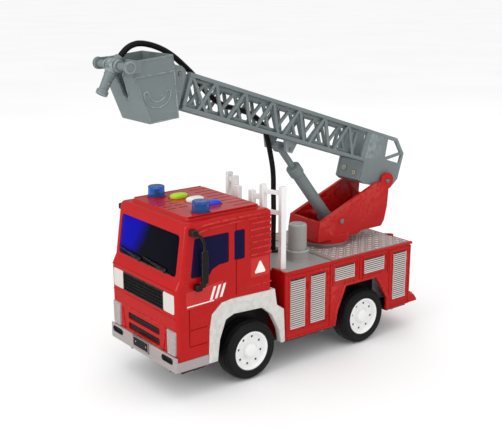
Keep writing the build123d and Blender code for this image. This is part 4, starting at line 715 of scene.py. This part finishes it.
# ---- grille ----
bars = Shape()
bars.prism(rounded_outline(57.6, 15.2, 0.8, centre=(0.0, GRILLE_Z)), -1.1, -0.7, FRONT)
for k in range(6):
    z = GRILLE_Z - 6.6 + 2.64 * k
    slat = [(-0.8, z - 0.5), (0.0, z - 0.65), (0.35, z - 0.3), (0.3, z + 0.1), (-0.8, z + 0.6)]
    bars.stack([[(u, v, w) for w, v in slat] for u in (-28.4, 28.4)], FRONT)
for k in range(25):
    u = -27.6 + 2.3 * k
    bars.prism(rounded_outline(0.35, 14.4, 0.1, 2, (u, GRILLE_Z)), -0.8, -0.35, FRONT)
rim_line = [(u, v, 0.0) for u, v in rounded_outline(57.0, 14.6, 1.0, 4, (0.0, GRILLE_Z))]
bars.tube(rim_line, 0.45, FRONT, closed=True)
bars.piece("grille_bars", "root", "grille", replaces=("grille",), angle=30.0)

# black inserts in the two air slots, painted shade for the dark inside of the red recesses, with a small
# moulded frame round them
slot_shade = Shape()
for z in (50.0, 41.5):
    slot_shade.prism(rounded_outline(45.4, 5.0, 1.4, centre=(0.0, z)), -1.25, -0.9, FRONT)
    for k in (-1, 1):
        slot_shade.tube([(-22.2, z + 1.2 * k, -0.8), (22.2, z + 1.2 * k, -0.8)], 0.35, FRONT, sides=6)
# the black inserts are painted shade
slot_shade.piece("air_slot_painted_shade", "root", "grille")
surround = Shape()
SLOT_FRAME = ((-31.0, 56.6), (31.0, 56.6), (32.5, 55.0), (28.0, 37.6), (-28.0, 37.6), (-32.5, 55.0))
surround.tube([(u, v, 0.0) for u, v in SLOT_FRAME], 0.75, FRONT, closed=True)
for z, lift in ((66.6, 0.0), (88.0, 0.15)):
    surround.tube([(-44.6, z, lift), (44.6, z, lift)], 0.6, FRONT)
surround.piece("front_mouldings", "root", "red_shell")

# ---- head lamps and fog lamps ----
def lamp_height(a, b):
    """A raised rim round a bowl with moulded rings."""
    x, y = 2 * a - 1, 2 * b - 1
    if max(abs(x), abs(y)) > 0.999:
        return -0.6
    if abs(x) > 0.82 or abs(y) > 0.9:
        return 0.95
    ripple = 0.28 * abs(math.sin(9.0 * math.hypot(x, 1.7 * y)))
    bowl = 0.5 * max(0.0, 1.0 - (x / 0.75) ** 2 - (y / 0.8) ** 2)
    return 0.3 + ripple + bowl


lenses = Shape()
for side in SIDES:
    def lamp_corner(a, b, side=side):
        return side * 39.8 + (2 * a - 1) * (5.0 + 0.7 * b), 37.2 + 19.6 * b

    lenses.relief(lamp_corner, 26, 44, lamp_height, -1.1, FRONT)
lenses.piece("lamp_lenses", "root", "lamp", replaces=("front_lamps",), angle=24.0)
FOG_LAMP_Z = 33.2
fog_trim = Shape()
for side in SIDES:
    middle = side * 36.5
    ring = [(middle + u, FOG_LAMP_Z + v, 2.35) for u, v in rounded_outline(14.6, 4.2, 2.0, 7)]
    fog_trim.tube(ring, 0.45, FRONT, closed=True, sides=6)
    fog_trim.prism(rounded_outline(14.4, 4.0, 1.95, 7, (middle, FOG_LAMP_Z)), 1.1, 1.75, FRONT)
    for k in range(7):
        u = middle - 5.4 + 1.8 * k
        fog_trim.prism(rounded_outline(0.5, 3.6, 0.2, 2, (u, FOG_LAMP_Z)), 1.7, 2.0, FRONT)
fog_trim.piece("fog_lamp_rings", "root", "black_trim")

# blank number plate: dark field, light border, two screws
PLATE = local_frame((121.2, 0, 33.4), (0, 1, 0), (0, 0, 1), (1, 0, 0))
plate = Shape()
plate.prism(rounded_outline(23.6, 9.2, 0.7), -0.3, 0.25, PLATE)
plate.piece("plate_field", "root", "black_trim", bevel=0.12)
border = Shape()
border.tube([(u, v, 0.25) for u, v in rounded_outline(22.2, 7.9, 0.8)], 0.28, PLATE, closed=True, sides=6)
for u in (-7.5, 7.5):
    border.dome(circle_points(0.7, 12, (u, 0.0)), 0.2, 0.3, 0.2, PLATE, steps=3)
border.piece("plate_border", "root", "bumper")

# ---- cab side details ----
ROOF_RIDGES = (
    ((105.2, 130.2, -0.5), (101.0, 133.0, -0.35), (92.0, 134.7, -0.25), (78.0, 135.3, -0.35),
     (55.0, 135.6, -0.4), (30.5, 135.6, -0.4)),
    ((101.5, 128.6, -0.1), (95.5, 130.8, -0.1), (84.0, 132.2, -0.1), (66.0, 132.8, -0.1),
     (45.0, 132.8, -0.1), (29.6, 132.6, -0.3)),
)
DOOR_LABEL = ((109.6, 72.6), (109.6, 86.0), (76.0, 89.2), (78.2, 75.0))
SIGN_LABEL = ((31.6, 85.6), (49.2, 85.6), (49.2, 101.0), (31.6, 101.0))
SIGN_TRIANGLE = ((40.4, 98.8), (34.6, 88.2), (46.2, 88.2))
LOUVRE_ENDS = ((50.6, 0.3), (49.8, 1.0), (30.2, 1.0), (29.4, 0.3))
ridges = Shape()
louvres = Shape()
label_field = Shape()
label_marks = Shape()
for side in SIDES:
    skin = side_frame(side)
    for points in ROOF_RIDGES:
        ridges.tube(points, 0.85, skin, sides=10)
    ridges.tube([(62.9, 79.2, -0.2), (30.0, 79.0, -0.2), (28.9, 79.0, -0.6)], 0.6, skin)
    for k in range(6):
        z = 104.0 + 5.0 * k
        low, high = z - 1.3, z + 1.5
        section = [(low, -0.2), (low + 0.3, 0.95), (low + 0.9, 1.1), (high, 0.1), (high, -0.2)]
        louvres.stack([[(x, v, w * rise) for v, w in section] for x, rise in LOUVRE_ENDS], skin)
    for outline in (DOOR_LABEL, SIGN_LABEL):
        label_field.prism(outline, 0.0, 0.06, skin)
    for k in range(3):
        x = 88.4 - 4.6 * k
        label_marks.prism([(x, 76.0 + 0.25 * k), (x - 2.3, 76.2 + 0.25 * k), (x - 6.0, 86.4 + 0.3 * k),
                           (x - 3.7, 86.2 + 0.3 * k)], 0.04, 0.11, skin)
    label_marks.prism([(108.9, 74.4), (84.6, 74.9), (84.4, 75.8), (108.9, 75.3)], 0.04, 0.11, skin)
    sign = []
    for index, corner in enumerate(SIGN_TRIANGLE):
        for other in (SIGN_TRIANGLE[index - 1], SIGN_TRIANGLE[(index + 1) % 3]):
            sign.append(tuple(Vector(corner).lerp(Vector(other), 0.1)))
    label_marks.prism(sign, 0.04, 0.11, skin)
ridges.piece("roof_ridges", "root", "red_shell")
louvres.piece("cab_louvres", "root", "red_shell", bevel=0.15)
label_field.piece("label_fields", "root", "red_shell", LABEL_RED)
label_marks.piece("label_marks", "root", "white_shell", LABEL_WHITE)

# ---- roof: beacons and buttons ----
BEACON_PROFILE = [(5.2, 0.0), (7.3, 0.0), (7.35, 0.9), (6.6, 1.3), (6.4, 6.8), (6.65, 7.2), (6.65, 7.8),
                  (6.2, 8.3), (4.6, 8.45), (0.0, 8.1), (0.0, 6.9), (4.6, 6.8), (5.1, 6.1)]
BEACON_WALL = (3, 4)


def flutes(k, a):
    """Upright flutes on the two rings of the beacon's wall."""
    return 0.1 * math.cos(20 * a) if k in BEACON_WALL else 0.0


domes = Shape()
for x, y in BEACONS:
    domes.lathe(BEACON_PROFILE, up_frame(x, y, BEACON_BASE_Z), segments=80, closed=True, wave=flutes)
domes.piece("beacon_domes", "root", "beacon", replaces=("beacons",))
seats = Shape()
for x, y in BUTTONS.values():
    lip = [(u, v, 0.05) for u, v in rounded_outline(17.4, 10.9, 5.4, 9)]
    seats.tube(lip, 0.4, up_frame(x, y, ROOF_Z), closed=True)
for y in (-38.6, 38.6):
    seats.tube([(36.0, y, -0.1), (100.0, y, -0.1)], 0.45, up_frame(0.0, 0.0, ROOF_Z))
seats.piece("roof_seats", "root", "red_shell")
for colour, (x, y) in BUTTONS.items():
    cap = Shape()
    cap.dome(rounded_outline(15.5, 9.0, 4.49, 10), 1.4, 2.1, 8.0, up_frame(x, y, ROOF_Z), steps=8, edge=0.6)
    cap.piece("button_cap_" + colour, "button_" + colour, "white_shell" if colour == "white" else colour,
              replaces=("button_" + colour,))

# ---- rear body: slatted shutters in raised frames ----
SLAT = 1.85
SLAT_SECTION = ((0.03, -0.6), (0.16, -0.3), (0.36, -0.2), (0.54, -0.4), (0.6, -1.0))
ARCH_LIP = ((-39.3, 24.3), (-42.2, 38.2), (-51.4, 58.6), (-89.0, 58.6), (-103.2, 36.6), (-103.8, 24.3))
TOP_RAIL_Z = 81.3
SILL_Z = 25.2
REAR_SHUTTER = (-31.0, 31.0, 36.0, 76.0)
LATCH_WEDGE = ((14.6, 82.2), (25.6, 81.6), (25.6, 84.0), (23.0, 84.1))


def box_line(u0, u1, v0, v1, lift, margin=0.0):
    """The four corners of a frame round a panel, a margin outside it."""
    u0, u1, v0, v1 = u0 - margin, u1 + margin, v0 - margin, v1 + margin
    return [(u0, v0, lift), (u1, v0, lift), (u1, v1, lift), (u0, v1, lift)]


def shutter(slats, shade_sheets, place, u0, u1, v0, v1):
    """A panel of half-round slats over a light bottom rail, with a black sheet behind them that is painted
    shade in the gaps between them.
    """
    count = max(1, round((v1 - v0 - 2.0) / SLAT))
    pitch = (v1 - v0 - 2.0) / count
    middle = (0.5 * (u0 + u1), 0.5 * (v0 + v1))
    # black sheet behind the slats: painted shade showing through the gaps
    shade_sheets.prism(rounded_outline(u1 - u0, v1 - v0, 0.3, 2, middle), -1.15, -0.95, place)
    for k in range(count):
        base = v0 + 1.5 + k * pitch
        section = [(base, -1.0)] + [(base + part * pitch, rise) for part, rise in SLAT_SECTION]
        slats.stack([[(u, v, w) for v, w in section] for u in (u0 + 0.3, u1 - 0.3)], place)
    slats.tube([(u0 + 0.4, v0 + 0.6, -0.5), (u1 - 0.4, v0 + 0.6, -0.5)], 0.55, place, sides=8)
    for u in (u0 + 0.4, u1 - 0.4):
        slats.tube([(u, v0 + 0.6, -0.75), (u, v1 - 0.4, -0.75)], 0.3, place, sides=6)


panels = Shape()
shade_sheets = Shape()
mouldings = Shape()
for side in SIDES:
    skin = side_frame(side)
    for x0, x1, z0, z1 in SHUTTERS:
        shutter(panels, shade_sheets, skin, x0, x1, z0, z1)
        mouldings.tube(box_line(x0, x1, z0, z1, 0.05, 0.7), 0.45, skin, closed=True, sides=8)
    for x0, x1, z0, z1 in PANEL_FRAMES:
        mouldings.tube(box_line(x0, x1, z0, z1, 0.1), 0.6, skin, closed=True, sides=8)
    for x in (-34.3, -68.3, -102.4):
        low = 26.0 if x > -40.0 else 59.5
        mouldings.tube([(x, low, 0.1), (x, 79.6, 0.1)], 0.8, skin)
    mouldings.tube([(u, v, 0.15) for u, v in ARCH_LIP], 1.3, skin, sides=10, flatten=0.7)
    top_rail = [(12.6, TOP_RAIL_Z, -0.35), (-130.0, TOP_RAIL_Z, -0.35), (-131.9, TOP_RAIL_Z, -0.6)]
    mouldings.tube(top_rail, 0.75, skin, sides=12)
    mouldings.dome(circle_points(1.3, 20, (-131.0, 81.0)), -0.2, 1.0, 1.0, skin)
    for front, rear in ((12.0, -38.6), (-104.6, -130.6)):
        mouldings.tube([(front, SILL_Z, -0.1), (rear, SILL_Z, -0.1)], 0.8, skin)
shutter(panels, shade_sheets, REAR, *REAR_SHUTTER)
mouldings.tube(box_line(*REAR_SHUTTER, 0.1, 1.2), 0.7, REAR, closed=True)
mouldings.tube([(-46.2, 81.2, -0.4), (46.2, 81.2, -0.4)], 0.75, REAR, sides=12)
mouldings.prism(LATCH_WEDGE, -2.6, -0.4, REAR)
panels.piece("shutter_slats", "root", "silver", replaces=("roller_shutters",), angle=50.0)
# the black sheets behind the slats are painted shade
shade_sheets.piece("shutter_shade_sheets", "root", "chassis")
mouldings.piece("body_mouldings", "root", "red_shell")

# grooves along the rear step
ribs = Shape()
for k in range(3):
    x, z = -134.0 - 2.1 * k, 33.25 - 0.82 * k
    ribs.tube([(x, -44.5, z), (x, 44.5, z)], 0.42, Matrix.Identity(4), sides=6)
ribs.piece("step_ribs", "root", "red_shell")

# ---- tread pattern on the rear deck ----
TREAD_PITCH = 4.3
TREAD_CORNER = (-126.4, -43.0)
TABLE_CLEARANCE = 22.6
LOZENGE = ((-2.0, 0.0), (-1.1, -0.5), (1.1, -0.5), (2.0, 0.0), (1.1, 0.5), (-1.1, 0.5))
LOZENGE_LEVELS = ((1.0, -0.1), (1.0, 0.2), (0.6, 0.5))
treads = Shape()
for i in range(20):
    for j in range(21):
        x = TREAD_CORNER[0] + TREAD_PITCH * i
        y = TREAD_CORNER[1] + TREAD_PITCH * j
        if x < -41.0 and math.hypot(x - TABLE_X, y) > TABLE_CLEARANCE:
            turn = math.radians(45.0 if (i + j) % 2 else -45.0)
            spot = up_frame(x, y, TREAD_Z) @ Matrix.Rotation(turn, 4, "Z")
            treads.stack([[(u * part, v * part, w) for u, v in LOZENGE] for part, w in LOZENGE_LEVELS], spot)
# the lozenges are drawn in the lighter copy of the tread grey: painted highlight
treads.piece("deck_treads", "root", "tread", TREAD_TOP_HIGHLIGHT, angle=50.0)

# ---- wheels: profiles of (radius, height), the height measured from the body's side ----
RIM_R = 16.0
GROOVE_R = TYRE_R - 0.7
TREAD_EDGE_R = TYRE_R - 0.15
TREAD_SLOPE_R = TYRE_R - 0.05
TYRE_OUTSIDE = [(RIM_R, -0.9), (RIM_R + 0.5, -0.35), (18.0, -0.1), (20.2, -0.05), (20.6, -0.35),
                (21.0, -0.05), (21.6, -0.15), (22.6, -0.7), (23.5, -1.8), (24.1, -3.2)]
TYRE_TREAD = [(TREAD_EDGE_R, -4.4), (GROOVE_R, -4.7), (GROOVE_R, -5.3), (TREAD_SLOPE_R, -5.6),
              (TYRE_R, -8.2), (GROOVE_R, -8.3), (GROOVE_R, -8.8), (TYRE_R, -8.9),
              (TREAD_SLOPE_R, -11.4), (GROOVE_R, -11.7), (GROOVE_R, -12.3), (TREAD_EDGE_R, -12.6)]
TYRE_INSIDE = [(24.1, -13.8), (23.5, -15.2), (22.4, -16.3), (21.0, -16.9), (RIM_R, -16.9)]
TYRE_SHOULDERS = (8, 9, 10, 21, 22, 23)
RIM_PROFILE = [(15.95, -1.6), (15.95, -0.7), (15.5, -0.35), (14.8, -0.3), (14.4, -0.7), (13.9, -2.0),
               (13.3, -3.3), (12.6, -3.8), (9.0, -4.0), (8.0, -3.9), (7.7, -3.5), (7.2, -3.4),
               (6.9, -3.8), (6.0, -3.6), (5.6, -1.6), (5.2, -0.9), (4.6, -0.5), (2.6, -0.35),
               (0.0, -0.3), (0.0, -15.0), (4.6, -15.0), (4.6, -6.2), (14.0, -6.4), (14.2, -15.8),
               (15.95, -15.8)]
# black floors in the rim's holes: painted shade for their dark insides
HOLE_FLOOR = [(1.05, -4.1), (1.05, -3.78), (0.9, -3.7), (0.0, -3.72)]
HOLE_LIP = [(1.0, -4.1), (1.0, -3.6), (1.15, -3.5), (1.35, -3.6), (1.45, -4.1)]
HOLE_CIRCLE_R = 11.2


def blocks(k, a):
    """Tread blocks on the tyre's two shoulders."""
    return -0.35 if k in TYRE_SHOULDERS and math.cos(36 * a) > 0.55 else 0.0


for end in AXLES:
    body = end + "_wheels"
    tyre = Shape()
    rim = Shape()
    hole_shade = Shape()
    lips = Shape()
    for side in SIDES:
        hub = wheel_frame(end, side)
        tyre.lathe(TYRE_OUTSIDE + TYRE_TREAD + TYRE_INSIDE, hub, segments=216, closed=True, wave=blocks)
        rim.lathe(RIM_PROFILE, hub, segments=96, closed=True)
        for u, v in circle_points(HOLE_CIRCLE_R, 8, start=12.0, end=372.0):
            spot = hub @ Matrix.Translation((u, v, 0.0))
            # black hole floor: painted shade
            hole_shade.lathe(HOLE_FLOOR, spot, segments=20)
            lips.lathe(HOLE_LIP, spot, segments=24, closed=True)
    tyre.piece("tyre_ring_" + end, body, "tyre", replaces=("tyres_" + end,), angle=50.0)
    rim.piece("wheel_rim_" + end, body, "white_shell", replaces=("rims_" + end,))
    hole_shade.piece("rim_hole_shade_" + end, body, "chassis")
    lips.piece("rim_hole_lips_" + end, body, "white_shell")

# ---- water pump ----
KNOB_PROFILE = [(0.0, 64.1), (7.7, 64.1), (7.75, 109.6), (7.55, 110.8), (7.0, 111.6), (6.1, 111.95),
                (5.5, 111.8), (0.0, 111.75)]
SLEEVE_PROFILE = [(7.95, 46.1), (8.8, 46.1), (8.8, 81.4), (10.3, 81.4), (10.3, 82.2), (9.9, 82.5),
                  (9.7, 87.6), (9.95, 87.9), (10.05, 88.6), (9.95, 89.3), (9.5, 90.0), (8.6, 90.2),
                  (8.0, 89.8)]
knob = Shape()
knob.lathe(KNOB_PROFILE, up_frame(*PUMP, 0.0), segments=72)
knob.piece("pump_knob", "pump_plunger", "grey_plastic", PUMP_GREY, replaces=("pump_plunger",))
sleeve = Shape()
sleeve.lathe(SLEEVE_PROFILE, up_frame(*PUMP, 0.0), segments=72, closed=True)
sleeve.piece("pump_sleeve", "root", "grey_plastic", PUMP_GREY, replaces=("pump_collar",))

# ---- basket: ribs round the side panels, lips round the openings, caps on the nozzle bar ----
# height, rear edge, front edge and half width
BASKET_LEVELS = ((0.0, 0.0, 25.0, 19.5), (34.6, 0.3, 34.7, 21.0), (46.5, 0.6, 31.5, 21.2))
HAND_SLOT = (16.6, 22.4)
HAND_SLOT_R = 9.4
HAND_SLOT_HALF = 2.2
HAND_SLOT_FROM = 195.0
HAND_SLOT_TO = 355.0
BAR_CAP = [(4.5, -0.2), (4.5, 0.9), (4.1, 1.25), (2.9, 1.3), (2.7, 0.9), (0.0, 0.9)]
BAR_CAP_Y = 22.3
NOTCH_SIDE = ((6.7, 44.8), (5.9, 36.2), (4.2, 21.2))


def basket_span(w):
    """Rear edge, front edge and half width of the basket at a height above its floor."""
    for low, high in zip(BASKET_LEVELS, BASKET_LEVELS[1:]):
        if w <= high[0]:
            part = (w - low[0]) / (high[0] - low[0])
            return [a + (b - a) * part for a, b in zip(low[1:], high[1:])]
    return BASKET_LEVELS[-1][1:]


def on_side(u, w, lift=0.0):
    """A point on the basket's slanted side wall."""
    return (u, w, basket_span(w)[2] + lift)


def on_front(half, w):
    """A point just proud of the basket's front wall."""
    return (basket_span(w)[1] + 0.1, w, half)


def hand_slot_line():
    """The outline of the curved hand slot: an outer arc, a round end, an inner arc and the other end."""
    line = []
    outer = (HAND_SLOT_R + HAND_SLOT_HALF, HAND_SLOT_FROM, HAND_SLOT_TO, 0.0)
    inner = (HAND_SLOT_R - HAND_SLOT_HALF, HAND_SLOT_TO, HAND_SLOT_FROM, 180.0)
    for radius, start, end, flip in (outer, inner):
        line += circle_points(radius, 17, HAND_SLOT, start, end)[1:-1]
        tip = math.radians(end)
        tip_centre = (HAND_SLOT[0] + HAND_SLOT_R * math.cos(tip), HAND_SLOT[1] + HAND_SLOT_R * math.sin(tip))
        line += circle_points(HAND_SLOT_HALF, 7, tip_centre, end + flip, end + flip + 180.0)[1:-1]
    return line


frames = Shape()
for side in SIDES:
    place = tilted_frame(*BASKET, BASKET_ANGLE, 0.0, side)
    for w0, w1 in ((0.7, 34.6), (34.6, 45.8)):
        low, high = basket_span(w0), basket_span(w1)
        loop = [on_side(low[0] + 0.7, w0), on_side(low[1] - 0.8, w0), on_side(high[1] - 0.8, w1),
                on_side(high[0] + 0.7, w1)]
        frames.tube(loop, 0.8, place, closed=True, sides=8, flatten=0.8)
    frames.tube([on_side(u, w, 0.1) for u, w in hand_slot_line()], 0.55, place, closed=True, sides=8)
    frames.lathe(BAR_CAP, place @ Matrix.Translation((*BAR, BAR_CAP_Y)), segments=40)
frames.piece("basket_frames", "basket", "grey_plastic")

notch = Shape()
place = tilted_frame(*BASKET, BASKET_ANGLE)
notch_line = [on_front(-half, w) for half, w in NOTCH_SIDE]
notch_line += [on_front(half, w) for half, w in circle_points(4.1, 8, (0.0, 20.6), 200.0, 340.0)]
notch_line += [on_front(half, w) for half, w in reversed(NOTCH_SIDE)]
notch.tube(notch_line, 0.6, place, sides=8)
notch.piece("basket_notch_lip", "basket", "grey_plastic")

# ---- nozzle ----
BAR_POINT = place @ Vector((BAR[0], BAR[1], 0.0))


def nozzle_frame(degrees):
    c, s = math.cos(math.radians(degrees)), math.sin(math.radians(degrees))
    return local_frame(BAR_POINT, (0, 1, 0), (-s, 0, c), (c, 0, s))


NOZZLE = nozzle_frame(NOZZLE_ANGLE)
ACROSS = local_frame(BAR_POINT, (1, 0, 0), (0, 0, 1), (0, 1, 0))
BOSS_PROFILE = [(2.87, -4.6), (4.3, -4.6), (4.7, -4.2), (4.7, 4.2), (4.3, 4.6), (2.87, 4.6)]
BARREL_PROFILE = [(0.0, 3.2), (4.5, 3.2), (4.6, 5.4), (4.2, 6.0), (4.15, 6.9), (4.35, 7.2), (4.3, 8.0),
                  (4.0, 8.5), (3.35, 18.6), (3.5, 19.0), (4.2, 19.5), (4.4, 20.1), (4.4, 22.2),
                  (4.1, 23.0), (3.2, 23.25), (1.6, 23.2), (1.4, 22.7), (1.4, 15.0), (0.0, 15.0)]
TAIL_PROFILE = [(0.0, -3.0), (3.6, -3.0), (3.5, -7.0), (3.2, -7.5), (0.0, -7.55)]
TRIGGER_V = 14.0
TRIGGER_TURN = Matrix.Rotation(math.radians(90.0), 4, "Y")
rod = Shape()
rod.lathe([(2.75, -22.9), (2.75, 22.9)], ACROSS, segments=48)
for side in SIDES:
    collar = [(4.1, 6.6), (4.4, 6.9), (4.4, 8.2), (4.1, 8.5), (2.7, 8.5), (2.7, 6.6)]
    rod.lathe([(radius, side * height) for radius, height in collar], ACROSS, segments=48, closed=True)
rod.piece("nozzle_axle", "basket", "grey_plastic", replaces=("nozzle_bar",), bevel=0.3)
jet = Shape()
jet.lathe(BOSS_PROFILE, ACROSS, segments=56, closed=True)
jet.lathe(BARREL_PROFILE, NOZZLE, segments=56)
jet.lathe(TAIL_PROFILE, nozzle_frame(TAIL_ANGLE), segments=40)
trigger_place = NOZZLE @ TRIGGER_TURN @ Matrix.Translation((-TRIGGER_V - 4.0, -TRIGGER_V, 1.4))
jet.dome(circle_points(1.2, 20, (4.0, TRIGGER_V)), 2.4, 1.4, 2.0, trigger_place, steps=4)
jet.piece("nozzle_jet", "nozzle", "grey_plastic", replaces=("nozzle",))
